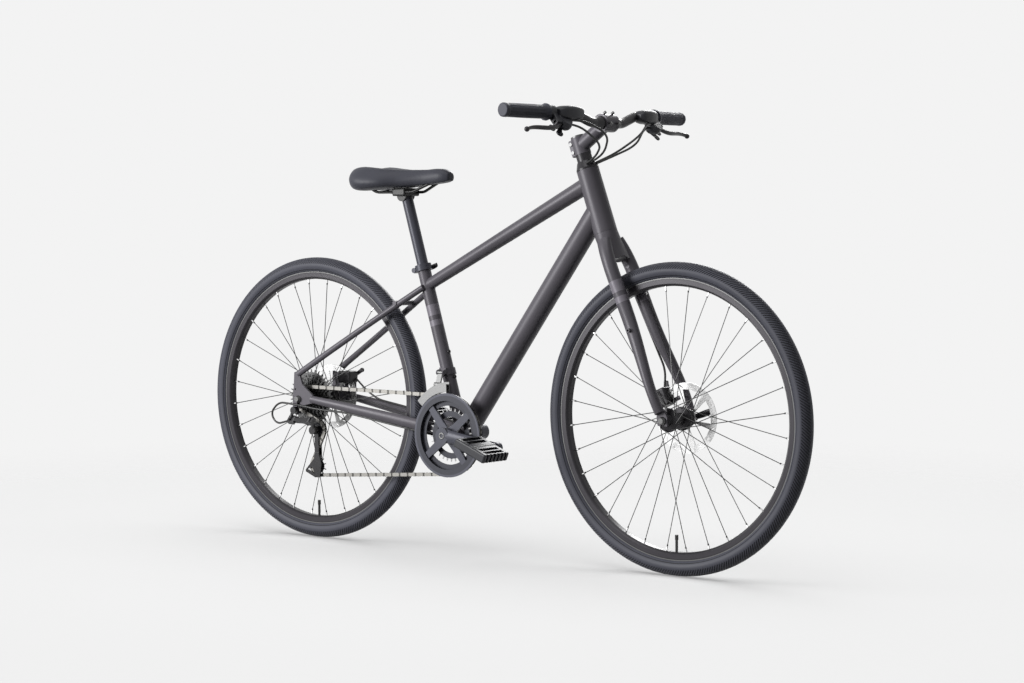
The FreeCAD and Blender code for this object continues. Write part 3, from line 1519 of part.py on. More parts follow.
def spider_arms(build):
    return [about_bracket(build, N.crank_angle + 360 * (k + 0.5) / SPIDER_ARMS) for k in range(SPIDER_ARMS)]


def build_chainrings():
    """Two toothed rings, the posts that hold them apart and the guard ring outside the spider."""
    teeth_out, teeth_in = int(N.outer_ring_teeth), int(N.inner_ring_teeth)
    outer_centre = bracket_point + Y_AXIS * chain_y
    inner_centre = outer_centre + Y_AXIS * N.ring_spacing
    outer = gear(teeth_out, phase_on(RING), N.sprocket_thickness, N.outer_ring_bore, outer_centre)
    tab = block(outer_centre + X_AXIS * (N.ring_bolt_circle + N.outer_ring_bore) / 2, X_AXIS, Y_AXIS,
                N.outer_ring_bore - N.ring_bolt_circle + 16, N.sprocket_thickness, 17)
    outer = outer.fuse(spider_arms(tab)).removeSplitter()
    inner = gear(teeth_in, 0.0, N.sprocket_thickness, N.inner_ring_bore, inner_centre)
    half = Y_AXIS * (N.sprocket_thickness / 2)
    at = X_AXIS * N.ring_bolt_circle
    post = cylinder(outer_centre + half + at, inner_centre - half + at, 5.0)
    guard_start = bracket_point + Y_AXIS * spider_outer
    guard = pipe_ring(guard_start, bracket_point + Y_AXIS * guard_outer, N.guard_radius, N.guard_bore)
    return feature("chainrings", Part.makeCompound([outer, inner, guard] + spider_arms(post)))


def crank_arm(side, boss_inner):
    """A tapered arm, splayed outwards from its boss to the pedal's eye."""
    way = crank_way * (-side)
    boss_y = N.spindle_half + N.crank_thickness / 2
    eye_y = boss_y + ARM_SPLAY
    boss_at = bracket_point + Y_AXIS * side * boss_y
    eye_at = bracket_point + way * N.crank_length + Y_AXIS * side * eye_y
    half = Y_AXIS * (N.crank_thickness / 2)
    boss = cylinder(bracket_point + Y_AXIS * side * boss_inner,
                    bracket_point + Y_AXIS * side * (N.spindle_half + N.crank_thickness), BOSS_RADIUS)
    eye = cylinder(eye_at - half * 0.8, eye_at + half * 0.8, EYE_RADIUS)
    blade = oval_loft([
        (boss_at + way * 2, way, N.crank_thickness * 0.48, 17.0),
        (boss_at + (eye_at - boss_at) * 0.55, way, N.crank_thickness * 0.44, 13.0),
        (eye_at, way, N.crank_thickness * 0.38, 11.5),
    ])
    spindle = cylinder(bracket_point, bracket_point + Y_AXIS * side * N.spindle_half,
                       N.spindle_radius + N.running_fit)
    axle = cylinder(eye_at - half * 3, eye_at + half * 3, N.pedal_axle_radius + N.running_fit)
    return boss.fuse([blade, eye]).cut([spindle, axle])


def pedal_eye(side):
    boss_y = N.spindle_half + N.crank_thickness / 2
    return bracket_point + crank_way * (-side) * N.crank_length + Y_AXIS * side * (boss_y + ARM_SPLAY)


def build_cranks():
    arm_reach = N.guard_bore + 4
    near, far = bracket_point.x, bracket_point.z
    web = slab([(near, far - 12), (near + 34, far - 10), (near + arm_reach, far - 8),
                (near + arm_reach, far + 8), (near + 34, far + 10), (near, far + 12)],
               spider_outer, spider_inner)
    spindle_end = bracket_point - Y_AXIS * N.spindle_half
    spindle = cylinder(bracket_point, spindle_end, N.spindle_radius + N.running_fit)
    right = crank_arm(RIGHT, -spider_inner).fuse(spider_arms(web)).cut(spindle)
    feature("right_crank", right.removeSplitter())
    feature("left_crank", crank_arm(LEFT, N.spindle_half - 10).removeSplitter())


PEDAL_GAP = 5.0


def build_spindles():
    """The spindle through the bottom bracket, and the two pedal axles."""
    half = Y_AXIS * N.spindle_half
    solids = [cylinder(bracket_point - half, bracket_point + half, N.spindle_radius)]
    for side in (RIGHT, LEFT):
        eye = pedal_eye(side)
        out = Y_AXIS * side
        start = eye - out * N.crank_thickness * 0.4
        end = eye + out * (N.crank_thickness * 0.4 + PEDAL_GAP + N.pedal_width - 6)
        collar = eye + out * (N.crank_thickness * 0.4)
        shaft = cylinder(start, end, N.pedal_axle_radius)
        flange = cylinder(collar, collar + out * (PEDAL_GAP - 0.4), N.pedal_axle_radius + 2.5)
        solids.append(shaft.fuse(flange).removeSplitter())
    return feature("spindles", Part.makeCompound(solids))


def build_pedal(name, side):
    """A platform pedal: a barrel on the axle inside an open cage."""
    out = Y_AXIS * side
    inner = pedal_eye(side) + out * (N.crank_thickness * 0.4 + PEDAL_GAP)
    centre = inner + out * (N.pedal_width / 2)
    cage = soft_block(centre, X_AXIS, Y_AXIS, N.pedal_length, N.pedal_width, N.pedal_height, 4)
    windows = []
    for end in (-1, 1):
        middle = centre + X_AXIS * end * N.pedal_length * 0.27
        windows.append(block(middle, X_AXIS, Y_AXIS, N.pedal_length * 0.24, N.pedal_width - 26,
                             N.pedal_height * 2))
    waist = [block(centre + Z_AXIS * sign * N.pedal_height * 0.5, X_AXIS, Y_AXIS, N.pedal_length * 0.9,
                   N.pedal_width - 26, 6) for sign in (-1, 1)]
    bore = cylinder(inner - out, inner + out * (N.pedal_width - 5), N.pedal_axle_radius + N.running_fit)
    return feature(name, cage.cut(windows + waist + [bore]))


def build_bracket_cups():
    outer, bore = S.bracket_bore - S.running_fit, S.spindle_radius + S.running_fit
    half = S.bracket_width / 2
    cups = []
    for name, sign in (("right", -1), ("left", 1)):
        body = turned_body(f"{name}_cup", [
            (bore, half * sign - sign * 14.0), (outer, half * sign - sign * 14.0), (outer, half * sign),
            (outer + 2.5, half * sign), (outer + 2.5, half * sign + S.cup_flange * sign),
            (bore, half * sign + S.cup_flange * sign)])
        body.Placement = bracket_place
        cups.append(body)
    doc.recompute()
    shapes = [cup.Shape for cup in cups]
    return feature("bottom_bracket_cups", Part.makeCompound(shapes))


build_chain()
build_cassette()
build_chainrings()
build_cranks()
build_spindles()
build_pedal("right_pedal", RIGHT)
build_pedal("left_pedal", LEFT)
build_bracket_cups()

# Rear derailleur, hung from the right dropout

hanger_point = rear_axle_point + V(HANGER[0], -rear_outer, HANGER[1])
SLANT = math.radians(40)
slant_axis = V(0, math.sin(SLANT), math.cos(SLANT))
KNUCKLE_LENGTH = 12.0
LINK_LENGTH = 50.0
LINK_Y = -82.0
LINK_DROP = 24.0
link_start = V(hanger_point.x, LINK_Y, hanger_point.z - LINK_DROP)
link_end = link_start + X_AXIS * LINK_LENGTH
PLATE_GAP = 5.0
CAGE_PLATE = 2.0
LINK_HALF = 6.0
EAR = 3.0
SPINE_OFFSET = 13.0
NECK_RADIUS = 4.2


def ears(at, axis):
    """The two ears that a link's end turns between."""
    gap = LINK_HALF + PADDLE_GAP
    return [cylinder(at + axis * sign * gap, at + axis * sign * (gap + EAR), 7.0) for sign in (-1, 1)]


def build_rear_knuckle():
    """The knuckle on the hanger bolt, with the ears for the upper end of the link."""
    face = hanger_point - Y_AXIS * N.head_gap
    drum = cylinder(face, face - Y_AXIS * KNUCKLE_LENGTH, 9.0)
    bolt = cylinder(hanger_point + Y_AXIS * N.dropout_thickness, face, HANGER_BORE - N.running_fit)
    gap = LINK_HALF + PADDLE_GAP
    back = link_start - X_AXIS * SPINE_OFFSET
    beside = X_AXIS.cross(slant_axis)
    spine = block(back, slant_axis, beside, 2 * (gap + EAR), 12, 6)
    sides = []
    for sign in (-1, 1):
        seat = link_start + slant_axis * sign * (gap + EAR / 2) - X_AXIS * SPINE_OFFSET / 2
        sides.append(block(seat, X_AXIS, beside, SPINE_OFFSET, 12, EAR))
    neck = oval_loft([(face - Y_AXIS * 6 + V(-4, 0, 0), back - face, NECK_RADIUS, NECK_RADIUS),
                      (back, back - face, NECK_RADIUS, NECK_RADIUS)])
    pin = cylinder(link_start - slant_axis * (gap + EAR), link_start + slant_axis * (gap + EAR), 2.2)
    whole = drum.fuse([bolt, spine, neck, pin] + ears(link_start, slant_axis) + sides)
    return feature("rear_derailleur_knuckle", whole.removeSplitter())


def build_rear_link():
    """The outer link of the parallelogram, between its two pins."""
    half = slant_axis * LINK_HALF
    ends = [cylinder(at - half, at + half, 6.0) for at in (link_start, link_end)]
    beside = X_AXIS.cross(slant_axis)
    web = block((link_start + link_end) / 2, X_AXIS, beside, LINK_LENGTH, 9, 2 * LINK_HALF)
    holes = [cylinder(at - half * 3, at + half * 3, 2.2 + N.running_fit) for at in (link_start, link_end)]
    return feature("rear_derailleur_link", web.fuse(ends).cut(holes).removeSplitter())


cage_outer_face = chain_y - PLATE_GAP - CAGE_PLATE
swing_face = cage_outer_face - PADDLE_GAP


def build_rear_swing():
    """The lower knuckle, which carries the cage's pivot."""
    gap = LINK_HALF + PADDLE_GAP
    pivot = in_chain_plane(guide_point.x, guide_point.z, swing_face)
    drum = cylinder(pivot, pivot - Y_AXIS * 16, 10.0)
    front = link_end + X_AXIS * SPINE_OFFSET
    beside = X_AXIS.cross(slant_axis)
    spine = block(front, slant_axis, beside, 2 * (gap + EAR), 10, 6)
    sides = []
    for sign in (-1, 1):
        seat = link_end + slant_axis * sign * (gap + EAR / 2) + X_AXIS * SPINE_OFFSET / 2
        sides.append(block(seat, X_AXIS, beside, SPINE_OFFSET, 12, EAR))
    neck = oval_loft([(front, pivot - front, NECK_RADIUS, NECK_RADIUS),
                      (pivot - Y_AXIS * 10 + V(0, 0, 2), pivot - front, NECK_RADIUS + 1, NECK_RADIUS + 1)])
    pin = cylinder(link_end - slant_axis * (gap + EAR), link_end + slant_axis * (gap + EAR), 2.2)
    stub = cylinder(pivot, pivot + Y_AXIS * (CAGE_PLATE + PADDLE_GAP), 5.0)
    whole = drum.fuse([spine, neck, pin, stub] + ears(link_end, slant_axis) + sides)
    return feature("rear_derailleur_swing", whole.removeSplitter())


def cage_plate(width, y_low, y_high):
    """A long plate with round ends, over the two pulleys."""
    along = (tension_pulley_point - guide_point).normalize()
    ends = [V(point.x, y_low, point.z) for point in (guide_point, tension_pulley_point)]
    thick = V(0, y_high - y_low, 0)
    discs = [cylinder(end, end + thick, radius) for end, radius in zip(ends, (11.0, 13.0))]
    web = block((ends[0] + ends[1]) / 2 + thick / 2, along, Y_AXIS, N.cage_length, y_high - y_low, width)
    return web.fuse(discs).removeSplitter()


def build_rear_cage():
    outer = cage_plate(13.0, cage_outer_face, cage_outer_face + CAGE_PLATE)
    inner_low = chain_y + PLATE_GAP
    inner = cage_plate(11.0, inner_low, inner_low + CAGE_PLATE)
    pivot_hole = in_chain_plane(guide_point.x, guide_point.z, cage_outer_face)
    outer = outer.cut(cylinder(pivot_hole - Y_AXIS, pivot_hole + Y_AXIS * CAGE_PLATE, 5.0 + N.running_fit))
    pins = []
    for at in (guide_point, tension_pulley_point):
        low = in_chain_plane(at.x, at.z, cage_outer_face + CAGE_PLATE)
        pins.append(cylinder(low, in_chain_plane(at.x, at.z, inner_low), 3.0))
    plug = in_chain_plane(guide_point.x, guide_point.z, cage_outer_face + CAGE_PLATE)
    rim = cylinder(plug, plug + Y_AXIS * 0.4, 8.0)
    return feature("rear_derailleur_cage", outer.fuse(pins + [rim, inner]).removeSplitter())


def build_pulley(name, at, wheel):
    bore = 3.0 + N.running_fit
    centre = in_chain_plane(at.x, at.z)
    wheel_solid = gear(int(N.pulley_teeth), phase_on(wheel), N.sprocket_thickness, bore, centre)
    boss = pipe_ring(centre - Y_AXIS * (PLATE_GAP - 0.7), centre + Y_AXIS * (PLATE_GAP - 0.7), 6.5, bore)
    return feature(name, wheel_solid.fuse(boss).removeSplitter())


# Front derailleur, clamped round the seat tube

FRONT_MOUNT_REACH = 152.0
front_link_start = bracket_point + V(-44, -28, 146)
front_link_end = bracket_point + V(-44, -38, 118)
FRONT_LINK_HALF = 7.0
CAGE_LOW, CAGE_HIGH = 102.5, 121.0
CAGE_FROM, CAGE_TO = 92.0, 140.0


def build_front_mount():
    bore = N.seat_tube_radius + N.running_fit
    low, high = on_seat_tube(FRONT_MOUNT_REACH - 8), on_seat_tube(FRONT_MOUNT_REACH + 8)
    ring = pipe_ring(low, high, bore + 3.0, bore)
    gap = FRONT_LINK_HALF + PADDLE_GAP
    lugs = []
    for sign in (-1, 1):
        seat = front_link_start + X_AXIS * sign * gap
        lugs.append(cylinder(seat, seat + X_AXIS * sign * 3, 6.0))
    spine = block(front_link_start + V(0, 9, 4), X_AXIS, Y_AXIS, 2 * (gap + 3), 5, 14)
    cheeks = [block(front_link_start + V(sign * (gap + 1.5), 5, 2), X_AXIS, Y_AXIS, 3, 9, 10)
              for sign in (-1, 1)]
    arm = block(front_link_start + V(2, 17, 4), X_AXIS, Y_AXIS, 14, 22, 12)
    pin = cylinder(front_link_start - X_AXIS * gap, front_link_start + X_AXIS * gap, 2.0)
    tube = cylinder(on_seat_tube(FRONT_MOUNT_REACH - 40), on_seat_tube(FRONT_MOUNT_REACH + 40), bore)
    whole = ring.fuse([spine, arm, pin] + lugs + cheeks).cut(tube)
    return feature("front_derailleur_mount", whole.removeSplitter())


def build_front_link():
    half = X_AXIS * FRONT_LINK_HALF
    pivots = (front_link_start, front_link_end)
    ends = [cylinder(at - half, at + half, 5.0) for at in pivots]
    along = front_link_end - front_link_start
    web = block((front_link_start + front_link_end) / 2, along, X_AXIS, along.Length, 2 * FRONT_LINK_HALF, 5)
    holes = [cylinder(at - half * 3, at + half * 3, 2.0 + N.running_fit) for at in pivots]
    return feature("front_derailleur_link", web.fuse(ends).cut(holes).removeSplitter())


def arc_band(low, high, first, last, y_low, y_high):
    """A curved plate about the bottom bracket, between two radii and two angles."""
    def at(radius, degrees):
        turn = math.radians(degrees)
        return V(bracket_point.x + radius * math.cos(turn), y_low, bracket_point.z + radius * math.sin(turn))
    middle = (first + last) / 2
    wire = Part.Wire([
        Part.Arc(at(low, first), at(low, middle), at(low, last)).toShape(),
        Part.LineSegment(at(low, last), at(high, last)).toShape(),
        Part.Arc(at(high, last), at(high, middle), at(high, first)).toShape(),
        Part.LineSegment(at(high, first), at(low, first)).toShape(),
    ])
    return Part.Face(wire).extrude(V(0, y_high - y_low, 0))


def build_front_cage():
    """Two curved plates beside the chain, joined above it and behind it."""
    outer_y, inner_y = chain_y - 5.0, chain_y + 5.0
    outer = arc_band(CAGE_LOW, CAGE_HIGH, CAGE_FROM, CAGE_TO, outer_y - 1.2, outer_y)
    inner = arc_band(CAGE_LOW, CAGE_HIGH + 5, CAGE_FROM, CAGE_TO, inner_y, inner_y + 1.2)
    top = arc_band(CAGE_HIGH - 1.5, CAGE_HIGH, CAGE_FROM, CAGE_FROM + 16, outer_y, inner_y)
    tail = arc_band(CAGE_LOW, CAGE_LOW + 6, CAGE_TO - 2, CAGE_TO, outer_y, inner_y)
    gap = FRONT_LINK_HALF + PADDLE_GAP
    lugs = []
    for sign in (-1, 1):
        seat = front_link_end + X_AXIS * sign * gap
        foot = V(seat.x, inner_y + 1, bracket_point.z + CAGE_LOW + 4)
        lugs.append(cylinder(seat, seat + X_AXIS * sign * 3, 5.0))
        stem_way = foot - seat
        middle = (foot + seat) / 2 + X_AXIS * sign * 1.5
        lugs.append(block(middle, stem_way, X_AXIS, stem_way.Length + 2, 3, 5))
    pin = cylinder(front_link_end - X_AXIS * gap, front_link_end + X_AXIS * gap, 2.0)
    return feature("front_derailleur_cage", outer.fuse([inner, top, tail, pin] + lugs).removeSplitter())


build_rear_knuckle()
build_rear_link()
build_rear_swing()
build_rear_cage()
build_pulley("guide_pulley", guide_point, GUIDE)
build_pulley("tension_pulley", tension_pulley_point, TENSION)
build_front_mount()
build_front_link()
build_front_cage()

# Cables, seated along the stays, the fork and the headset cover, and the bottle bolts

CABLE_RADIUS = 2.5
CABLE_SEAT = 0.3
CABLE_ENDS = 12.0


def seated(label, routes, *supports):
    """Cables along their routes, let into whatever they lie on; prints each length."""
    cables = []
    for name, route in routes:
        cable = hose(route, CABLE_RADIUS)
        for support in supports:
            cable = cable.cut(support.Shape)
        cable = largest(cable)
        print(f"cable {name}: {cable.Volume / (math.pi * CABLE_RADIUS ** 2):.0f} mm long")
        cables.append(cable)
    return feature(label, Part.makeCompound(cables))


def stay_point(x, side, lift):
    """A point straight above or below the middle of a chainstay, at a place along the bike."""
    start, knee, end = CHAINSTAY_LINE
    first, last = (start, knee) if x > knee.x else (knee, end)
    share = (x - first.x) / (last.x - first.x)
    at = first + (last - first) * share
    return V(x, -side * at.y, at.z + lift)


def frame_cable_routes():
    under = -(N.chainstay_height + CABLE_RADIUS - CABLE_SEAT)
    shift = [
        bracket_point + V(-10, -22, -14), stay_point(-140, RIGHT, under), stay_point(-215, RIGHT, under),
        stay_point(-400, RIGHT, under + 3), V(-470, -77, 328), V(-548, -79, 337.5), V(-607, -79, 341),
        V(-634, -80, 312), V(-612, -81, 286), link_start + V(-11, 0, -1),
    ]
    brake = [
        bracket_point + V(-8, 22, 14), stay_point(-140, LEFT, -under), stay_point(-215, LEFT, -under),
        stay_point(-400, LEFT, -under - 3), V(-442, 60, 374), rear_caliper_point + V(15, 8, 2),
    ]
    return (("to the rear derailleur", shift), ("to the rear brake", brake))


def control_cable_routes():
    routes = []
    for word, side in (("right", RIGHT), ("left", LEFT)):
        _, outward, _, axis = control_frame(side)
        start = pod_centre(side) - outward * CABLE_ENDS
        brake, shift = start - axis * 5, start + axis * 5
        routes.append((f"from the {word} brake lever", [
            brake, brake - outward * 44 + V(12, 0, -2), V(400, side * 60, 985), V(360, side * 22, 946),
            on_steerer(head_top + 11, 19, side * 8),
        ]))
        routes.append((f"from the {word} shifter", [
            shift, shift - outward * 40 + V(8, 0, -8), V(384, side * 66, 963), V(342, side * 31, 938),
            on_steerer(head_top + 11, 12, side * 17),
        ]))
    back = (leg_point(1) - leg_point(0)).cross(Y_AXIS).normalize()
    back = back if back.x < 0 else -back
    offset = back * (N.leg_radius_top * 1.1 + CABLE_RADIUS - CABLE_SEAT)
    mirror = [leg_point(0.04), leg_point(0.15) + offset, leg_point(0.72) + offset]
    route = [V(point.x, -point.y, point.z) for point in mirror]
    top = V(math.sin(math.radians(FRONT_CALIPER_LEAN)), 0, math.cos(math.radians(FRONT_CALIPER_LEAN)))
    route.append(front_caliper_point + top * (N.caliper_length / 2 - 4) + Y_AXIS * 8)
    routes.append(("to the front brake", route))
    return routes


BOTTLE_BOLTS = (137.0, 199.0)


def build_bottle_bolts():
    bolts = []
    for reach in BOTTLE_BOLTS:
        face = N.seat_tube_radius - 1
        head = cylinder(on_seat_tube(reach, face), on_seat_tube(reach, N.seat_tube_radius + 3), 4.5)
        low, high = N.seat_tube_radius + 1.2, N.seat_tube_radius + 4
        socket = prism(on_seat_tube(reach, low), on_seat_tube(reach, high), 2.3)
        bolts.append(head.cut(seat_tube_form).cut(socket))
    return feature("bottle_bolts", Part.makeCompound(bolts))


def part_called(label):
    return doc.getObjectsByLabel(label)[0]


doc.recompute()
seated("frame_cables", frame_cable_routes(), part_called("main_frame"), part_called("rear_stays"),
       part_called("rear_caliper"), part_called("rear_derailleur_knuckle"))
seated("control_cables", control_cable_routes(), part_called("control_units"), part_called("headset_cover"),
       part_called("fork"), part_called("front_caliper"))
build_bottle_bolts()


def finish():
    doc.recompute()
    for item in doc.Objects:
        if "Invalid" in item.State or "Error" in item.State:
            raise ValueError(f"{item.Label} failed: {item.State}")
    for part in PARTS:
        if part.Shape.isNull() or not part.Shape.isValid():
            raise ValueError(f"{part.Label} has no sound shape")
    os.makedirs("parts", exist_ok=True)
    for part in PARTS:
        part.Shape.exportStep(f"parts/{part.Label}.step")
        print(f"{part.Label}: {len(part.Shape.Solids)} solids, {part.Shape.Volume / 1000:.1f} cm3")


finish()
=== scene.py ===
# %% [markdown]
# # A hybrid bike
# The bike comes in as a finished mechanical model: every tube, spoke, link and lever is already in its place.
# This lesson gives it its looks. We set up a camera and soft studio light, and write one finish for each kind of
# surface. Then we make the pieces whose surface is richer than a machined solid: the tyres, the grips, the saddle,
# the gear displays and the pedals, and last two small details of the cranks and the derailleur.

# %% Load the bike and remember its size
import math

import bmesh
import bpy
from mathutils import Matrix, Vector


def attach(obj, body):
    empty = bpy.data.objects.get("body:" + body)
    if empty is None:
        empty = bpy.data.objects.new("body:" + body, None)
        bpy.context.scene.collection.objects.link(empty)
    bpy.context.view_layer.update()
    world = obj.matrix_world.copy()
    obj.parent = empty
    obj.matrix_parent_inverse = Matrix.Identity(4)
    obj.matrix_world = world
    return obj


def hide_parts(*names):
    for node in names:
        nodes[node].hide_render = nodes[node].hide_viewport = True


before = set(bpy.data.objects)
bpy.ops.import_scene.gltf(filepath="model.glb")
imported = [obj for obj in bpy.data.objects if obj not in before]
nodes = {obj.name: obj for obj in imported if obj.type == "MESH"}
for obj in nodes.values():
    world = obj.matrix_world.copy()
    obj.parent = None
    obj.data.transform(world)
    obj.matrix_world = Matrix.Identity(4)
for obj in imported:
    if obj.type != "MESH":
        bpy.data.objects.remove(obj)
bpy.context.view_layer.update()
scene = bpy.context.scene

# %% [markdown]
# ## Camera
# The photograph was solved from the two wheel circles: the camera stands low, ahead of the drive side, with a
# long lens. A long lens far away keeps the two wheels nearly the same size, as a shop's product picture does.

# %% Place the photograph's camera
CAMERA_AT = Vector((3.5828, -4.4165, 0.7997))
LOOKS_AT = Vector((0.0752, 0.0, 0.5100))
LENS_MM, SENSOR_MM = 84.67, 36.0
ROLL = math.radians(-0.091)

camera_data = bpy.data.cameras.new("photo_camera")
camera_data.lens = LENS_MM
camera_data.sensor_width = SENSOR_MM
camera = bpy.data.objects.new("photo_camera", camera_data)
camera.location = CAMERA_AT
facing = (LOOKS_AT - CAMERA_AT).to_track_quat("-Z", "Y").to_matrix()
camera.rotation_euler = (facing @ Matrix.Rotation(ROLL, 3, "Z")).to_euler()
scene.collection.objects.link(camera)
scene.camera = camera
scene.view_settings.view_transform = "Standard"
print("camera is", round((LOOKS_AT - CAMERA_AT).length, 3), "m from the bike")

# %% [markdown]
# ## Backdrop
# A product picture has one even, off-white ground behind it. A bright room would give that, but it would also wash
# out the dark tubes. Here the rays that the camera or a shiny surface sends out meet an off-white colour, and the
# light that fills the room is kept low, so that the tubes turn dark on their far side. Small helpers make and join
# the nodes, and all later finishes use them too.

# %% Make and join shader nodes


def feed(tree, socket, value):
    """Link a socket to another one, or set it to a fixed value."""
    if isinstance(value, bpy.types.NodeSocket):
        tree.links.new(value, socket)
    else:
        socket.default_value = value


def math_node(tree, operation, *values):
    """A node of arithmetic between sockets or numbers."""
    node = tree.nodes.new("ShaderNodeMath")
    node.operation = operation
    for socket, value in zip(node.inputs, values):
        feed(tree, socket, value)
    return node.outputs[0]


def seen_rays(tree):
    """1 for rays from the camera, from a shiny surface and through glass, and 0 for light that fills the room."""
    rays = tree.nodes.new("ShaderNodeLightPath")
    seen = rays.outputs["Is Camera Ray"]
    for kind in ("Is Glossy Ray", "Is Transmission Ray"):
        seen = math_node(tree, "MAXIMUM", seen, rays.outputs[kind])
    return seen


print("helpers to feed a socket, to calculate and to tell rays apart")

# %% Hang the backdrop
BACKDROP, BACKDROP_STRENGTH = (0.896, 0.896, 0.896, 1.0), 1.0
FILL_TONE, FILL_STRENGTH = (0.94, 0.97, 1.0, 1.0), 0.02

world = bpy.data.worlds.new("studio")
scene.world = world
world.use_nodes = True
sky = world.node_tree
sky.nodes.clear()
choose = sky.nodes.new("ShaderNodeMixShader")
feed(sky, choose.inputs["Fac"], seen_rays(sky))
for place, (tone, strength) in enumerate(((FILL_TONE, FILL_STRENGTH), (BACKDROP, BACKDROP_STRENGTH)), start=1):
    ground = sky.nodes.new("ShaderNodeBackground")
    ground.inputs["Color"].default_value = tone
    ground.inputs["Strength"].default_value = strength
    sky.links.new(ground.outputs[0], choose.inputs[place])
sky_out = sky.nodes.new("ShaderNodeOutputWorld")
sky.links.new(choose.outputs[0], sky_out.inputs["Surface"])
print("backdrop", BACKDROP[0], "fill", FILL_STRENGTH)

# %% [markdown]
# ## Softboxes
# A dark bike needs bright faces and dark edges to stand out. A small lamp would give hard glints. A softbox a little
# higher than the bike, to the left of the camera's view, gives each tube one long soft highlight. A weak one from
# above and one behind the bike draw the upper and far edges, and the largest one lights only the floor.

# %% Hang the softboxes
# Each softbox: its place, the point that it faces, its width and height in metres, and its watts.
SOFTBOXES = {
    "drive_side_softbox": ((-2.7, -4.2, 1.6), (0.0, 0.0, 0.55), (2.4, 2.2), 285),
    "top_softbox": ((0.3, -1.6, 4.2), (0.0, 0.0, 0.6), (3.0, 2.0), 55),
    "far_side_softbox": ((-2.0, 5.2, 3.2), (0.0, 0.0, 0.5), (2.0, 2.0), 170),
    "overhead_softbox": ((0.0, 0.0, 5.5), (0.0, 0.0, 0.0), (9.0, 9.0), 530),
}
FLOOR_SOFTBOX = "overhead_softbox"


def softbox(name, at, aim, size, watts):
    """A rectangular lamp that faces a point."""
    lamp = bpy.data.lights.new(name, "AREA")
    lamp.shape = "RECTANGLE"
    lamp.size, lamp.size_y = size
    lamp.energy = watts
    box = bpy.data.objects.new(name, lamp)
    box.location = at
    box.rotation_euler = (Vector(aim) - Vector(at)).to_track_quat("-Z", "Y").to_euler()
    scene.collection.objects.link(box)
    return box


lamps = {name: softbox(name, *figures) for name, figures in SOFTBOXES.items()}
print("lamps:", len(lamps))

# %% [markdown]
# ## Floor
# The sweep under a product has no visible edge. This floor is a plain pale disc whose outer part fades away into
# the backdrop, so the bike keeps its soft contact shadow and the horizon disappears. A real white floor throws
# so much light up that the undersides of the tubes go grey. This one is pale to the eye and to mirrors, and
# darker to the light that it throws back. The overhead softbox lights the floor alone, and the others leave it out,
# so that one soft shadow lies under the wheels.

# %% Lay the pale floor
FLOOR_RADIUS, FLOOR_POINTS, FLOOR_DROP = 6.0, 96, 0.0008

floor_mesh = bpy.data.meshes.new("studio_floor")
disc = bmesh.new()
bmesh.ops.create_circle(disc, cap_ends=True, segments=FLOOR_POINTS, radius=FLOOR_RADIUS)
disc.to_mesh(floor_mesh)
disc.free()
floor = bpy.data.objects.new("studio_floor", floor_mesh)
floor.location.z = -FLOOR_DROP
scene.collection.objects.link(floor)
print("floor radius", FLOOR_RADIUS, "m")

# %% Make nodes for colours, places and ranges


def colour_mix(tree, mask, under, over):
    """One colour where a mask is 0, and another where it is 1."""
    mix = tree.nodes.new("ShaderNodeMix")
    mix.data_type = "RGBA"
    for label, value in (("Factor", mask), ("A", under), ("B", over)):
        feed(tree, mix.inputs[label], value)
    return mix.outputs["Result"]


def surface_point(tree):
    """A point of the surface in its object's own coordinates, in metres."""
    return tree.nodes.new("ShaderNodeTexCoord").outputs["Object"]


def vector_node(tree, operation, vector, other=None):
    """A node of arithmetic on a vector, with a fixed second vector where it takes one."""
    node = tree.nodes.new("ShaderNodeVectorMath")
    node.operation = operation
    tree.links.new(vector, node.inputs[0])
    if other is not None:
        node.inputs[1].default_value = other
    return node.outputs["Value" if operation in ("LENGTH", "DOT_PRODUCT") else "Vector"]


def map_range(tree, value, start, end, low=0.0, high=1.0, steps="LINEAR"):
    """Carry a value from the range of start to end over to the range of low to high."""
    node = tree.nodes.new("ShaderNodeMapRange")
    node.interpolation_type = steps
    labels = ("Value", "From Min", "From Max", "To Min", "To Max")
    for label, given in zip(labels, (value, start, end, low, high)):
        feed(tree, node.inputs[label], given)
    return node.outputs["Result"]


print("helpers to mix colours, find places and map ranges")

# %% Paint the pale floor
FLOOR_SEEN, FLOOR_BOUNCE = (0.93, 0.93, 0.93, 1.0), (0.14, 0.14, 0.14, 1.0)
FADE_FROM, FADE_TO, FLOOR_COVER = 1.0, 3.2, 0.62
FLOOR_ROUGHNESS, FLOOR_GLOSS = 0.9, 0.0

floor_finish = bpy.data.materials.new("pale_floor")
floor_finish.use_nodes = True
tree = floor_finish.node_tree
paint = tree.nodes["Principled BSDF"]
paint.inputs["Roughness"].default_value = FLOOR_ROUGHNESS
paint.inputs["Specular IOR Level"].default_value = FLOOR_GLOSS
feed(tree, paint.inputs["Base Color"], colour_mix(tree, seen_rays(tree), FLOOR_BOUNCE, FLOOR_SEEN))
from_middle = vector_node(tree, "LENGTH", surface_point(tree))
feed(tree, paint.inputs["Alpha"], map_range(tree, from_middle, FADE_FROM, FADE_TO, FLOOR_COVER, 0.0, "SMOOTHSTEP"))
floor_mesh.materials.append(floor_finish)
print("the floor fades out from", FADE_FROM, "to", FADE_TO, "m")

# %% Share out the softboxes between the bike and the floor


def light_links(name, state):
    """A collection that holds the floor, to take it into a lamp's light or leave it out."""
    links = bpy.data.collections.new(name)
    links.objects.link(floor)
    links.collection_objects[0].light_linking.link_state = state
    return links


floor_only, all_but_floor = light_links("floor_only", "INCLUDE"), light_links("all_but_floor", "EXCLUDE")
for name, lamp in lamps.items():
    lamp.light_linking.receiver_collection = floor_only if name == FLOOR_SOFTBOX else all_but_floor
print("lamps that leave the floor out:", len(lamps) - 1)

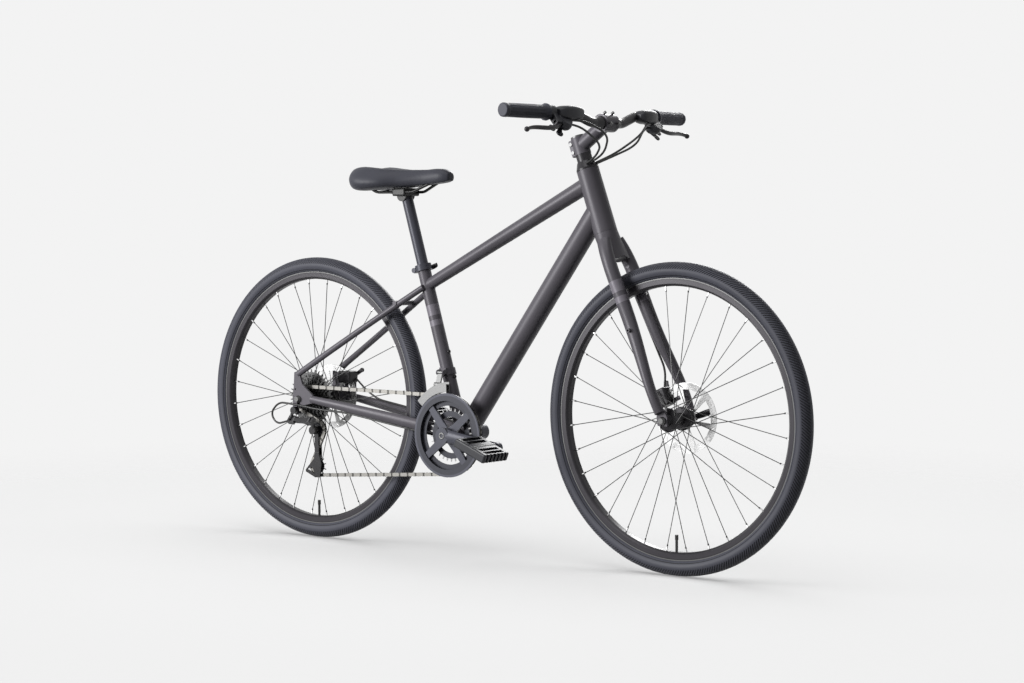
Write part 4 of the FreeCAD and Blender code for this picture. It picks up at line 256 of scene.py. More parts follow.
# %% [markdown]
# ## Shared surface effects
# Nearly every surface on the bike has some fine unevenness: the orange peel of paint, the grain of moulded
# plastic, the lines of drawn steel. It is far too fine to model, so two node groups give it. Each reads the object's
# own coordinates, in metres, and puts out only a colour, a roughness and a height, so that every finish can use its
# own values.

# %% Write what every effect has
COLOUR, FLOAT = "NodeSocketColor", "NodeSocketFloat"
# Each input: its name, its kind, and the value it has until a finish sets its own.
SURFACE_INPUTS = (
    ("Dark", COLOUR, (0.02, 0.02, 0.02, 1)), ("Light", COLOUR, (0.04, 0.04, 0.04, 1)),
    ("Smoothest", FLOAT, 0.3), ("Roughest", FLOAT, 0.5), ("Scale", FLOAT, 300.0),
)
SURFACE_OUTPUTS = (("Colour", COLOUR), ("Roughness", FLOAT), ("Height", FLOAT))


def new_effect(name):
    """A shader node group with the sockets of a surface effect."""
    group = bpy.data.node_groups.new(name, "ShaderNodeTree")
    for label, kind, value in SURFACE_INPUTS:
        socket = group.interface.new_socket(label, in_out="INPUT", socket_type=kind)
        socket.default_value = value
    for label, kind in SURFACE_OUTPUTS:
        group.interface.new_socket(label, in_out="OUTPUT", socket_type=kind)
    return group, group.nodes.new("NodeGroupInput"), group.nodes.new("NodeGroupOutput")


def put_out(group, into, out, mask, height):
    """Turn a mask from 0 to 1 into the effect's colour and roughness, and pass the height on."""
    colour = colour_mix(group, mask, into.outputs["Dark"], into.outputs["Light"])
    rough = map_range(group, mask, 0.0, 1.0, into.outputs["Smoothest"], into.outputs["Roughest"])
    for label, value in (("Colour", colour), ("Roughness", rough), ("Height", height)):
        group.links.new(value, out.inputs[label])


def noise_node(group, vector, scale, detail):
    """Soft noise from 0 to 1."""
    noise = group.nodes.new("ShaderNodeTexNoise")
    for label, value in (("Vector", vector), ("Scale", scale), ("Detail", detail)):
        feed(group, noise.inputs[label], value)
    return noise.outputs["Fac"]


print("every effect takes", [row[0] for row in SURFACE_INPUTS])

# %% Build the two effects
FINE_DETAIL, FINE_SHARE = 3.0, 0.45
CLOUD_SCALE, CLOUD_DETAIL, CLOUD_SHARE = 9.0, 2.0, 0.55
GRAIN_FROM, GRAIN_TO = 0.3, 0.7
LINE_STRETCH, LINE_DETAIL = (1.0, 0.06, 1.0), 4.0
LINES_FROM, LINES_TO = 0.35, 0.65


def grain_effect():
    """Fine grain with slow clouds of tone, for paint, plastic, rubber and the saddle's cover."""
    group, into, out = new_effect("fine_grain")
    place = surface_point(group)
    fine = noise_node(group, place, into.outputs["Scale"], FINE_DETAIL)
    cloud = noise_node(group, place, CLOUD_SCALE, CLOUD_DETAIL)
    clouds = math_node(group, "MULTIPLY", cloud, CLOUD_SHARE)
    grain = math_node(group, "MULTIPLY_ADD", fine, FINE_SHARE, clouds)
    put_out(group, into, out, map_range(group, grain, GRAIN_FROM, GRAIN_TO), fine)
    return group


def drawn_effect():
    """Fine lines along the bike's width, as turned and drawn metal shows."""
    group, into, out = new_effect("drawn_metal")
    stretch = group.nodes.new("ShaderNodeMapping")
    stretch.inputs["Scale"].default_value = LINE_STRETCH
    group.links.new(surface_point(group), stretch.inputs["Vector"])
    lines = noise_node(group, stretch.outputs["Vector"], into.outputs["Scale"], LINE_DETAIL)
    put_out(group, into, out, map_range(group, lines, LINES_FROM, LINES_TO), lines)
    return group


GRAIN, DRAWN = grain_effect(), drawn_effect()
print("effects:", GRAIN.name, DRAWN.name)

# %% [markdown]
# ## A finish
# One helper makes a material from an effect and its own values. Numbers that are the same all over, such as how
# metallic the surface is or how thick its clear coat, go straight onto the shader. The bike's dark greys aren't
# neutral, so each family of parts has its own tint.

# %% Mix the tints

def tint(red, green, blue):
    """A helper that gives greys of any depth a little of these colours."""
    def tones(*depths):
        return [(depth * red, depth * green, depth * blue, 1.0) for depth in depths]
    return tones


grey = tint(1.0, 1.0, 1.0)
plum = tint(1.07, 1.0, 1.15)  # the paint and the black alloy
slate = tint(0.98, 1.0, 1.26)  # the crankset, the seat post and the rubber
straw = tint(1.03, 1.0, 0.94)  # the oiled chain
print("a middle plum:", [round(part, 3) for part in plum(0.5)[0]])

# %% Write the helpers for finishes
RELIEF_DEPTH, COAT_ROUGHNESS = 0.0004, 0.25


def finish(name, effect, tones, roughness, scale, bump, metallic=0.0, coat=0.0, specular=0.25):
    """A material whose colour, roughness and relief come from one of the effects, between two tones."""
    material = bpy.data.materials.new(name)
    material.use_nodes = True
    tree = material.node_tree
    shader = tree.nodes["Principled BSDF"]
    surface = tree.nodes.new("ShaderNodeGroup")
    surface.node_tree = effect
    for (label, *_), value in zip(SURFACE_INPUTS, (*tones, *roughness, scale)):
        surface.inputs[label].default_value = value
    relief = tree.nodes.new("ShaderNodeBump")
    relief.inputs["Strength"].default_value = bump
    relief.inputs["Distance"].default_value = RELIEF_DEPTH
    tree.links.new(surface.outputs["Colour"], shader.inputs["Base Color"])
    tree.links.new(surface.outputs["Roughness"], shader.inputs["Roughness"])
    tree.links.new(surface.outputs["Height"], relief.inputs["Height"])
    tree.links.new(relief.outputs["Normal"], shader.inputs["Normal"])
    shader.inputs["Metallic"].default_value = metallic
    shader.inputs["Coat Weight"].default_value = coat
    shader.inputs["Coat Roughness"].default_value = COAT_ROUGHNESS
    shader.inputs["Specular IOR Level"].default_value = specular
    return material


def dress(material, *names):
    """Give a finish to CAD nodes, in every material slot that they have."""
    for name in names:
        for slot in nodes[name].material_slots:
            slot.material = material


def masked_colour(material, mask, colour):
    """Lay a second colour over a finish wherever a mask is 1."""
    tree = material.node_tree
    base = tree.nodes["Principled BSDF"].inputs["Base Color"]
    under = base.links[0].from_socket
    tree.links.new(colour_mix(tree, mask, under, colour), base)


print("helpers to make a finish, lay it on and mask it")

# %% [markdown]
# ## Painted frame and fork
# The frame is satin anthracite: dark, with a touch of plum and a little metallic flake. The seat tube and both fork
# legs carry two plain lighter bands, a wide one and a narrow one. A band could be a texture that is painted on. Here
# the material measures how far a point lies along the tube, so the band keeps a sharp edge at any distance and
# stays on the tube in every pose.

# %% Measure along a tube


def from_point(tree, start):
    """The way from a fixed point of the bike to a point of the surface, in metres."""
    return vector_node(tree, "SUBTRACT", surface_point(tree), start)


def along_axis(tree, start, direction):
    """How far a point lies along an axis."""
    return vector_node(tree, "DOT_PRODUCT", from_point(tree, start), direction)


def beyond(tree, distance, limit):
    """1 where a distance is over a limit, otherwise 0."""
    return math_node(tree, "GREATER_THAN", distance, limit)


def band(tree, distance, middle, half):
    """1 where a distance lies within half of the middle, otherwise 0."""
    away = math_node(tree, "ABSOLUTE", math_node(tree, "SUBTRACT", distance, middle))
    return math_node(tree, "LESS_THAN", away, half)


def both(tree, first, second):
    """1 where two masks are 1, otherwise 0."""
    return math_node(tree, "MULTIPLY", first, second)


print("masks: beyond a limit, within a band, and both of two")

# %% Paint the frame, fork and stem
PAINT_TONES, [BAND_TONE] = plum(0.080, 0.108), plum(0.200)
BRACKET = Vector((-0.076, 0.0, 0.285))
SEAT_TUBE_UP = Vector((-0.3051, 0.0, 0.9523)).normalized()
LEG_TOP, LEG_DOWN = Vector((0.3805, 0.0, 0.7089)), Vector((0.4194, 0.0, -0.9078)).normalized()
# Each band: how far along the tube its middle lies, and half of its width.
SEAT_BANDS = ((0.3057, 0.0133), (0.2740, 0.0068))
LEG_BANDS = ((0.0705, 0.0135), (0.1024, 0.0073))
SEAT_TUBE_HALF, LEG_HALF = 0.021, 0.040


def frame_paint(name):
    """The plain paint."""
    return finish(name, GRAIN, PAINT_TONES, roughness=(0.34, 0.42), scale=1500.0, bump=0.05, metallic=0.08,
                  specular=0.22)


def banded_paint(name, start, way, bands, tube_half):
    """The paint with lighter bands at given places along one tube, and on no other."""
    paint = frame_paint(name)
    tree = paint.node_tree
    reach = along_axis(tree, start, way)
    across = along_axis(tree, start, Vector((way.z, 0.0, -way.x)))
    stripes = math_node(tree, "MAXIMUM", *[band(tree, reach, middle, half) for middle, half in bands])
    masked_colour(paint, both(tree, stripes, band(tree, across, 0.0, tube_half)), BAND_TONE)
    return paint


seat_tube_paint = banded_paint("plum_anthracite_frame", BRACKET, SEAT_TUBE_UP, SEAT_BANDS, SEAT_TUBE_HALF)
dress(seat_tube_paint, "main_frame", "rear_stays")
dress(banded_paint("plum_anthracite_fork", LEG_TOP, LEG_DOWN, LEG_BANDS, LEG_HALF), "fork")
dress(frame_paint("plum_anthracite_stem"), "stem", "front_derailleur_mount")
print("painted the frame, fork and stem")

# %% [markdown]
# ## Bright metal
# Bare steel shows fine drawn or turned lines. The rotors are ground nearly white, and the front derailleur's cage
# is polished. On the chain every other pair of plates lies further out, and those outer plates are lighter than the
# inner ones. Two materials could tell them apart, but the chain is one solid, so its material goes by the depth
# across the bike.

# %% Finish the bright metal
CHAIN_LINE, ACROSS = Vector((0.0, -0.050, 0.0)), Vector((0.0, 1.0, 0.0))
OUTER_PLATE, [OUTER_TONE] = 0.00226, straw(0.19)

rotor_steel = finish("ground_steel", DRAWN, grey(0.34, 0.46), roughness=(0.40, 0.52), scale=1800.0, bump=0.06,
                     metallic=1.0)
dress(rotor_steel, "front_rotor", "rear_rotor")
bright_steel = finish("polished_steel", DRAWN, grey(0.12, 0.20), roughness=(0.40, 0.54), scale=900.0, bump=0.04,
                      metallic=1.0)
dress(bright_steel, "front_derailleur_link", "front_derailleur_cage", "spindles")
bolt_steel = finish("dark_bolts", GRAIN, grey(0.07, 0.13), roughness=(0.28, 0.42), scale=900.0, bump=0.05,
                    metallic=0.9)
dress(bolt_steel, "stem_bolts", "headset_bearings", "front_axle", "rear_axle")
cog_steel = finish("dark_cogs", DRAWN, grey(0.045, 0.11), roughness=(0.28, 0.44), scale=1200.0, bump=0.08,
                   metallic=0.9)
dress(cog_steel, "cassette")

chain_steel = finish("oiled_chain", GRAIN, straw(0.05, 0.09), roughness=(0.34, 0.46), scale=500.0, bump=0.06,
                     metallic=1.0)
tree = chain_steel.node_tree
depth = math_node(tree, "ABSOLUTE", along_axis(tree, CHAIN_LINE, ACROSS))
masked_colour(chain_steel, beyond(tree, depth, OUTER_PLATE), OUTER_TONE)
dress(chain_steel, "chain")
print("bright metal:", rotor_steel.name, bright_steel.name, bolt_steel.name, cog_steel.name, chain_steel.name)

# %% [markdown]
# ## Dark metal
# Most alloy parts are anodised black. A real metal shader would mirror the pale room and look grey, so these are
# dark colours with only a little metal in them and a soft sheen. The seat post and the crankset are a cooler slate,
# and the rear derailleur has a clear coat and is glossier than the rest.

# %% Finish the dark metal
black_alloy = finish("black_anodised", GRAIN, plum(0.014, 0.028), roughness=(0.26, 0.38), scale=1600.0, bump=0.06,
                     metallic=0.2, specular=0.3)
dress(black_alloy, "front_hub", "rear_hub", "handlebar", "headset_cover", "front_quick_lever", "rear_quick_lever",
      "seat_clamp_lever", "left_brake_lever", "right_brake_lever", "front_caliper", "rear_caliper",
      "front_caliper_arm", "rear_caliper_arm", "bottom_bracket_cups", "bottle_bolts")
gloss_black = finish("gloss_black_alloy", GRAIN, plum(0.008, 0.016), roughness=(0.14, 0.26), scale=900.0, bump=0.04,
                     metallic=0.2, coat=0.3, specular=0.5)
dress(gloss_black, "rear_derailleur_knuckle", "rear_derailleur_link", "rear_derailleur_swing",
      "rear_derailleur_cage")
slate_post = finish("slate_post", GRAIN, slate(0.050, 0.072), roughness=(0.30, 0.40), scale=1500.0, bump=0.05,
                    metallic=0.15, specular=0.2)
dress(slate_post, "seatpost", "seat_collar")
slate_crank = finish("slate_crank", GRAIN, slate(0.062, 0.086), roughness=(0.32, 0.42), scale=1500.0, bump=0.06,
                     metallic=0.12)
dress(slate_crank, "right_crank", "left_crank")
rail_black = finish("black_rails", GRAIN, grey(0.016, 0.028), roughness=(0.26, 0.38), scale=1200.0, bump=0.05,
                    metallic=0.5)
dress(rail_black, "saddle_rails")
print("dark metal:", black_alloy.name, gloss_black.name, slate_post.name, slate_crank.name, rail_black.name)

# %% [markdown]
# ## Chainrings and spokes
# The guard and the two chainrings are one node. The guard, on the outside, is close to the crank's slate, with a
# lighter rim that is a painted highlight. The rings are dark, and the small one, deepest in, has bright teeth. The
# spokes are black and end in bright nipples at the rim, while the valve stays black. As on the chain, one material
# per node tells these apart, by the depth across the bike and the distance from the axle.

# %% Finish the chainrings
GUARD_FACE, SMALL_RING = -0.054, -0.046
SMALL_TEETH, GUARD_HIGHLIGHT_FROM = 0.0570, 0.0945
[TEETH_TONE], [GUARD_TONE, GUARD_HIGHLIGHT_TONE] = grey(0.50), slate(0.044, 0.085)
WHEEL_PLANE = (1.0, 0.0, 1.0)


def radius_from(tree, centre):
    """A point's distance from an axle, in the wheel's plane."""
    flat = vector_node(tree, "MULTIPLY", from_point(tree, centre), WHEEL_PLANE)
    return vector_node(tree, "LENGTH", flat)


ring_steel = finish("ring_steel", GRAIN, slate(0.030, 0.050), roughness=(0.32, 0.44), scale=1200.0, bump=0.06,
                    metallic=0.15)
tree = ring_steel.node_tree
across, from_bracket = along_axis(tree, Vector(), ACROSS), radius_from(tree, BRACKET)
on_small, on_teeth = beyond(tree, across, SMALL_RING), beyond(tree, from_bracket, SMALL_TEETH)
masked_colour(ring_steel, both(tree, on_small, on_teeth), TEETH_TONE)
on_guard = math_node(tree, "LESS_THAN", across, GUARD_FACE)
masked_colour(ring_steel, on_guard, GUARD_TONE)
# A painted highlight on the guard's outer rim.
masked_colour(ring_steel, both(tree, on_guard, beyond(tree, from_bracket, GUARD_HIGHLIGHT_FROM)), GUARD_HIGHLIGHT_TONE)
dress(ring_steel, "chainrings")
print("chainrings:", ring_steel.name)

# %% Finish the spokes
AXLES = {"front": Vector((0.544, 0.0, 0.351)), "rear": Vector((-0.544, 0.0, 0.351))}
FORWARD = Vector((1.0, 0.0, 0.0))
NIPPLE_FROM, VALVE_CLEAR = 0.2885, 0.006
[NIPPLE_TONE] = grey(0.70)

for end, axle in AXLES.items():
    spoke_black = finish(f"{end}_black_spokes", DRAWN, grey(0.030, 0.060), roughness=(0.26, 0.38), scale=900.0,
                         bump=0.05, metallic=0.6)
    tree = spoke_black.node_tree
    nipple = beyond(tree, radius_from(tree, axle), NIPPLE_FROM)
    beside_valve = math_node(tree, "ABSOLUTE", along_axis(tree, axle, FORWARD))
    masked_colour(spoke_black, both(tree, nipple, beyond(tree, beside_valve, VALVE_CLEAR)), NIPPLE_TONE)
    dress(spoke_black, f"{end}_spokes")
    print("spokes:", spoke_black.name)

# %% [markdown]
# ## Rims
# The rims are black alloy. Their side walls carry a painted highlight, a lighter gunmetal band, and end in a narrow
# bright line of painted highlight beside the tyre. Both could be faces with a material of their own. As bands
# between two distances from the axle, they leave the solid as it is.

# %% Finish the rims
WALL_MIDDLE, WALL_HALF, [WALL_HIGHLIGHT_TONE] = 0.3060, 0.0054, plum(0.045)
EDGE_MIDDLE, EDGE_HALF, [EDGE_HIGHLIGHT_TONE] = 0.3150, 0.0016, grey(0.16)

for end, axle in AXLES.items():
    rim_black = finish(f"{end}_rim_black", GRAIN, plum(0.022, 0.036), roughness=(0.26, 0.38), scale=1400.0,
                       bump=0.05, metallic=0.2, specular=0.2)
    tree = rim_black.node_tree
    reach = radius_from(tree, axle)
    # Painted highlights: a lighter band on the side wall and a bright line at its edge.
    masked_colour(rim_black, band(tree, reach, WALL_MIDDLE, WALL_HALF), WALL_HIGHLIGHT_TONE)
    masked_colour(rim_black, band(tree, reach, EDGE_MIDDLE, EDGE_HALF), EDGE_HIGHLIGHT_TONE)
    dress(rim_black, f"{end}_rim")
    print("rim:", rim_black.name)

# %% [markdown]
# ## Moulded plastic and cables
# Shifters, paddles and jockey wheels are moulded nylon with a fine matt grain, and the gear displays and the pedals
# take the same finish further on. The grain is relief in the material, because it is finer than a mesh should be.
# The cables have a smooth, slightly shiny outer.

# %% Finish the plastic
moulded = finish("moulded_nylon", GRAIN, slate(0.014, 0.028), roughness=(0.34, 0.48), scale=900.0, bump=0.14,
                 specular=0.3)
dress(moulded, "control_units", "left_shift_lever", "right_shift_lever", "left_release_lever",
      "right_release_lever", "guide_pulley", "tension_pulley")
cable_outer = finish("cable_outer", GRAIN, grey(0.010, 0.018), roughness=(0.30, 0.40), scale=500.0, bump=0.03,
                     specular=0.4)
dress(cable_outer, "frame_cables", "control_cables")
print("plastic:", moulded.name, cable_outer.name)

# %% [markdown]
# ## Tyres
# A hybrid tyre is smooth in the middle, with rows of slanted cuts on its shoulders and plain side walls. The cuts
# could be drawn as relief in the material, but then they vanish from the outline and from the mesh itself. Here the
# tyre is a grid of points turned about the axle. Four columns of points make one cut and the land beside it, and
# the columns lean, so that the edges of the grid are the edges of the cuts.

# %% Lay a closed grid of points


def faced_outward(shape, mesh):
    """Turn a bmesh's faces outward, write it to a mesh and let it go."""
    bmesh.ops.recalc_face_normals(shape, faces=shape.faces)
    shape.to_mesh(mesh)
    shape.free()


def placed(name, mesh):
    """An object for a mesh, whose points already lie in the bike's frame."""
    piece = bpy.data.objects.new(name, mesh)
    scene.collection.objects.link(piece)
    return piece


def closed_grid(name, columns, rows, point_at, place_at=None, ends_joined=False):
    """A mesh from points in columns that close into a ring, with texture coordinates for each point.

    The rows either join up again, as on a tyre, or end in two flat caps, as on a sleeve.
    """
    place_at = place_at or (lambda i, j: (i / columns, j / rows))
    points = [point_at(i, j) for i in range(columns) for j in range(rows)]
    faces, places = [], []
    for i in range(columns):
        for j in range(rows if ends_joined else rows - 1):
            corners = ((i, j), (i, j + 1), (i + 1, j + 1), (i + 1, j))
            faces.append(tuple((c % columns) * rows + r % rows for c, r in corners))
            for corner in corners:
                places.extend(place_at(*corner))
    if not ends_joined:
        for r in (0, rows - 1):
            faces.append(tuple(c * rows + r for c in range(columns)))
            for c in range(columns):
                places.extend(place_at(c, r))
    mesh = bpy.data.meshes.new(name)
    mesh.from_pydata(points, [], faces)
    mesh.uv_layers.new(name="surface").data.foreach_set("uv", places)
    mesh.polygons.foreach_set("use_smooth", [len(face.vertices) == 4 for face in mesh.polygons])
    shape = bmesh.new()
    shape.from_mesh(mesh)
    faced_outward(shape, mesh)
    return placed(name, mesh)


print("one helper lays every grid")

# %% Turn the tyres
TYRE_MIDDLE, TYRE_HALF = 0.331, 0.0199
BEAD_TURN = math.radians(141)
ACROSS_STEPS = 40
CUTS_ROUND, CUT_LEAN, CUT_DEPTH = 320, 6.0, 0.0009
# Each column of a cut: its place within the repeat, and 1 where it sinks.
CUT_STEPS = ((0.00, 0.0), (0.50, 0.0), (0.58, 1.0), (0.92, 1.0))
CUTS_FROM, CUTS_TO = 0.10, 0.54


def repeated(steps, i):
    """A column's place, counted in repeats, and how far it sinks."""
    start, sinks = steps[i % len(steps)]
    return i // len(steps) + start, sinks


def tyre_side(j):
    """A row's place across the tyre, from -1 at one bead to 1 at the other."""
    return 2 * j / ACROSS_STEPS - 1


def turned_tyre(name, axle):
    """A tyre whose shoulders have leaning cuts."""
    def point_at(i, j):
        side = tyre_side(j)
        place, sinks = repeated(CUT_STEPS, i)
        turn = 2 * math.pi * (place + CUT_LEAN * abs(side)) / CUTS_ROUND
        on_shoulder = CUTS_FROM < abs(side) < CUTS_TO
        section = TYRE_HALF - (CUT_DEPTH * sinks if on_shoulder else 0.0)
        radius = TYRE_MIDDLE + section * math.cos(BEAD_TURN * side)
        return axle + Vector((radius * math.cos(turn), section * math.sin(BEAD_TURN * side),
                              radius * math.sin(turn)))

    def place_at(i, j):
        return repeated(CUT_STEPS, i)[0], tyre_side(j)

    return closed_grid(name, CUTS_ROUND * len(CUT_STEPS), ACROSS_STEPS + 1, point_at, place_at, ends_joined=True)


print("cuts round a tyre:", CUTS_ROUND)

# %% [markdown]
# ## Rubber
# The floor of each cut stays dark with painted shade, and a groove of painted shade runs round beside the rim. Both
# could be painted by hand. They follow the same texture coordinates as the cuts do, so colour and shape can't drift
# apart.

# %% Finish the tyres
BEAD_GROOVE, BEAD_GROOVE_HALF = 0.86, 0.018
CUT_FLOOR, CUT_FLOOR_HALF = 0.75, 0.21
[CUT_SHADE_TONE] = slate(0.010)


def surface_places(tree):
    """The two texture coordinates of a grid, as separate values."""
    split = tree.nodes.new("ShaderNodeSeparateXYZ")
    uv = tree.nodes.new("ShaderNodeUVMap")
    uv.uv_map = "surface"
    tree.links.new(uv.outputs["UV"], split.inputs[0])
    return split.outputs["X"], split.outputs["Y"]


def tread_rubber(name):
    """Rubber with painted shade in its cuts and in a groove beside the rim."""
    rubber = finish(name, GRAIN, slate(0.060, 0.082), roughness=(0.42, 0.54), scale=500.0, bump=0.25, specular=0.2)
    tree = rubber.node_tree
    round_place, across = surface_places(tree)
    side = math_node(tree, "ABSOLUTE", across)
    cut = band(tree, math_node(tree, "FRACT", round_place), CUT_FLOOR, CUT_FLOOR_HALF)
    shoulder = band(tree, side, (CUTS_FROM + CUTS_TO) / 2, (CUTS_TO - CUTS_FROM) / 2)
    groove = band(tree, side, BEAD_GROOVE, BEAD_GROOVE_HALF)
    # Painted shade: the floors of the cuts on the shoulders and a groove beside the rim.
    masked_colour(rubber, math_node(tree, "MAXIMUM", both(tree, cut, shoulder), groove), CUT_SHADE_TONE)
    return rubber


for end, axle in AXLES.items():
    tyre = turned_tyre(f"{end}_tyre_tread", axle)
    tyre.data.materials.append(tread_rubber(f"{end}_tyre_rubber"))
    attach(tyre, f"{end}_wheel")
    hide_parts(f"{end}_tyre")
    print(tyre.name, len(tyre.data.polygons), "faces")

# %% [markdown]
# ## Grips
# Each grip is a rubber sleeve with a flange at its inner end, a rounded cap at its tip, and a field of small blocks
# for the palm. The blocks could be made one by one and joined. It is simpler to lay a grid again: along the sleeve
# and round it, two of every four rows and columns sink between the blocks.

# %% Set out the sleeve
GRIP_LENGTH, FLANGE_LENGTH, FLANGE_RADIUS, FLANGE_STEP = 0.1354, 0.004, 0.0192, 0.0006
INNER_COLLAR, TIP_COLLAR, COLLAR_STEP, COLLAR_RISE = 0.011, 0.1246, 0.0005, 0.0005
PALM_RADIUS, PALM_SWELL, PALM_FROM, PALM_TO = 0.0152, 0.0006, 0.013, 0.1227
TIP_ROUND, TIP_STEPS = 0.003, 6
# Each row or column of a block: its place within the repeat, and 1 where it sinks.
BLOCK_STEPS = ((0.00, 0.0), (0.72, 0.0), (0.80, 1.0), (0.92, 1.0))
BLOCKS_ALONG, BLOCKS_ROUND, GROOVE_DEPTH = 24, 12, 0.0006


def sleeve_rows():
    """Pairs of a place along the sleeve, in metres, and how far its row sinks into a groove."""
    rows = [(place, 0.0) for place in (0.0, FLANGE_LENGTH - FLANGE_STEP, FLANGE_LENGTH,
                                       INNER_COLLAR - COLLAR_STEP, INNER_COLLAR + COLLAR_STEP)]
    block = (PALM_TO - PALM_FROM) / BLOCKS_ALONG
    for k in range(BLOCKS_ALONG):
        rows += [(PALM_FROM + (k + start) * block, sinks) for start, sinks in BLOCK_STEPS]
    rows += [(place, 0.0) for place in (PALM_TO, TIP_COLLAR - COLLAR_STEP, TIP_COLLAR + COLLAR_STEP)]
    for k in range(TIP_STEPS + 1):
        rows.append((GRIP_LENGTH - TIP_ROUND * (1 - math.sin(math.pi / 2 * k / TIP_STEPS)), 0.0))
    return rows


def grip_radius(place):
    """The sleeve's radius at a distance from its inner end, without the grooves."""
    if place < FLANGE_LENGTH:
        return FLANGE_RADIUS
    radius = PALM_RADIUS + PALM_SWELL * math.sin(math.pi * place / GRIP_LENGTH)
    if place < INNER_COLLAR or place > TIP_COLLAR:
        radius += COLLAR_RISE
    past = place - (GRIP_LENGTH - TIP_ROUND)
    if past > 0:
        radius -= TIP_ROUND * (1 - math.sqrt(max(0.0, 1 - (past / TIP_ROUND) ** 2)))
    return radius


print("rows along a sleeve:", len(sleeve_rows()))

# %% Turn the grips
GRIP_INNER = Vector((0.3350, 0.2049, 1.0323))
GRIP_WAY = Vector((-0.11914, 0.99285, 0.00722)).normalized()
UP = Vector((0.0, 0.0, 1.0))
SIDES = {"right": -1, "left": 1}


def on_side(vector, side):
    """A vector of the bike's left half, or its mirror image on the right."""
    return Vector((vector.x, side * vector.y, vector.z))


def turned_grip(name, side):
    """A grip for one side of the bar."""
    start, way = on_side(GRIP_INNER, side), on_side(GRIP_WAY, side)
    over = way.cross(UP).normalized()
    up = over.cross(way)
    rows = sleeve_rows()

    def point_at(i, j):
        place, row_sinks = rows[j]
        count, column_sinks = repeated(BLOCK_STEPS, i)
        turn = 2 * math.pi * count / BLOCKS_ROUND
        depth = GROOVE_DEPTH * max(row_sinks, column_sinks) if PALM_FROM < place < PALM_TO else 0.0
        radius = grip_radius(place) - depth
        return start + way * place + (over * math.cos(turn) + up * math.sin(turn)) * radius

    def place_at(i, j):
        return rows[j][0] / GRIP_LENGTH, repeated(BLOCK_STEPS, i)[0]

    return closed_grid(name, BLOCKS_ROUND * len(BLOCK_STEPS), len(rows), point_at, place_at)


grip_rubber = finish("grip_rubber", GRAIN, slate(0.064, 0.086), roughness=(0.42, 0.56), scale=900.0, bump=0.2,
                     specular=0.2)
for word, side in SIDES.items():
    grip = turned_grip(f"{word}_grip_sleeve", side)
    grip.data.materials.append(grip_rubber)
    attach(grip, "front_end")
    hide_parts("grips")
    print(grip.name, len(grip.data.polygons), "faces")

# %% [markdown]
# ## Saddle
# The saddle is foam under a thin synthetic cover. Seen from behind it has two round cushions with a pressure channel
# between them, and they join into a narrow nose. It could be sculpted, or blown up as cloth, but its cover is
# stretched tight and shows no folds. So a few stations from rear to nose give the width and the drops of each
# cross-section, and a smooth curve through them fills in the rest. The form is then rebuilt as an even mesh and
# relaxed, so that every edge rounds over like padding.

# %% Draw smooth curves through stations
MM_IN_M = 1000


def through(before, start, end, after, share):
    """A value on the smooth curve from start to end, by the points on each side."""
    return 0.5 * (2 * start + (end - before) * share + (2 * before - 5 * start + 4 * end - after) * share ** 2
                  + (3 * start - before - 3 * end + after) * share ** 3)


def between(around, steps):
    """Rows of values from the second to the third of four stations."""
    return [[through(*values, i / steps) for values in zip(*around)] for i in range(steps)]


def smooth_stations(stations, steps):
    """The stations and the values between them, as an even run of rows."""
    last = len(stations) - 1
    rows = []
    for k in range(last):
        rows += between([stations[min(max(k + d, 0), last)] for d in (-1, 0, 1, 2)], steps)
    return rows + [list(stations[-1])]


def smooth_ring(corners, steps):
    """A closed run of rows through corners."""
    ring = []
    for k in range(len(corners)):
        ring += between([corners[(k + d) % len(corners)] for d in (-1, 0, 1, 2)], steps)
    return ring


print("helpers for open and closed curves")

# %% Loft the saddle's form
SADDLE_REAR, SADDLE_LENGTH, SADDLE_TOP, SADDLE_HALF = -0.3915, 0.2825, 0.9165, 0.0792
# Each station: share of the length, share of the half width, then drops in mm from the top to the middle, to the
# two cushions, to the widest edge and to the underside.
SADDLE_STATIONS = (
    (0.00, 0.36, 15.0, 12.0, 20.0, 29.0),
    (0.02, 0.66, 9.0, 3.0, 20.0, 37.0),
    (0.07, 0.90, 5.0, -4.0, 20.0, 46.0),
    (0.18, 1.00, 3.0, -7.0, 26.0, 49.0),
    (0.36, 0.90, 4.0, -2.0, 28.0, 45.0),
    (0.54, 0.56, 2.0, 2.0, 25.0, 41.0),
    (0.74, 0.33, 0.0, 2.0, 20.0, 37.0),
    (0.92, 0.27, 0.0, 2.0, 15.0, 32.0),
    (1.00, 0.15, 9.0, 11.0, 18.0, 28.0),
)
CUSHION_SHARE, FOOT_SHARE = 0.66, 0.80
STEPS_ALONG, STEPS_ROUND = 8, 6
CHANNEL_FROM, CHANNEL_TO, CHANNEL_DEPTH, CHANNEL_HALF = 0.06, 0.82, 0.0070, 0.011


def saddle_ring(row):
    """Points round one cross-section of the saddle."""
    share, width, middle, cushion, edge, under = row
    half = width * SADDLE_HALF
    right = [(0.0, middle), (CUSHION_SHARE * half, cushion), (half, edge), (FOOT_SHARE * half, under)]
    corners = right + [(0.0, under)] + [(-across, drop) for across, drop in reversed(right[1:])]
    inside = min(max((share - CHANNEL_FROM) / (CHANNEL_TO - CHANNEL_FROM), 0.0), 1.0)
    depth = CHANNEL_DEPTH * math.sin(math.pi * inside) ** 0.5
    points = []
    for across, drop in smooth_ring(corners, STEPS_ROUND):
        height = SADDLE_TOP - drop / MM_IN_M
        if drop < edge:
            height -= depth * math.exp(-(across / CHANNEL_HALF) ** 2)
        points.append(Vector((SADDLE_REAR + share * SADDLE_LENGTH, across, height)))
    return points


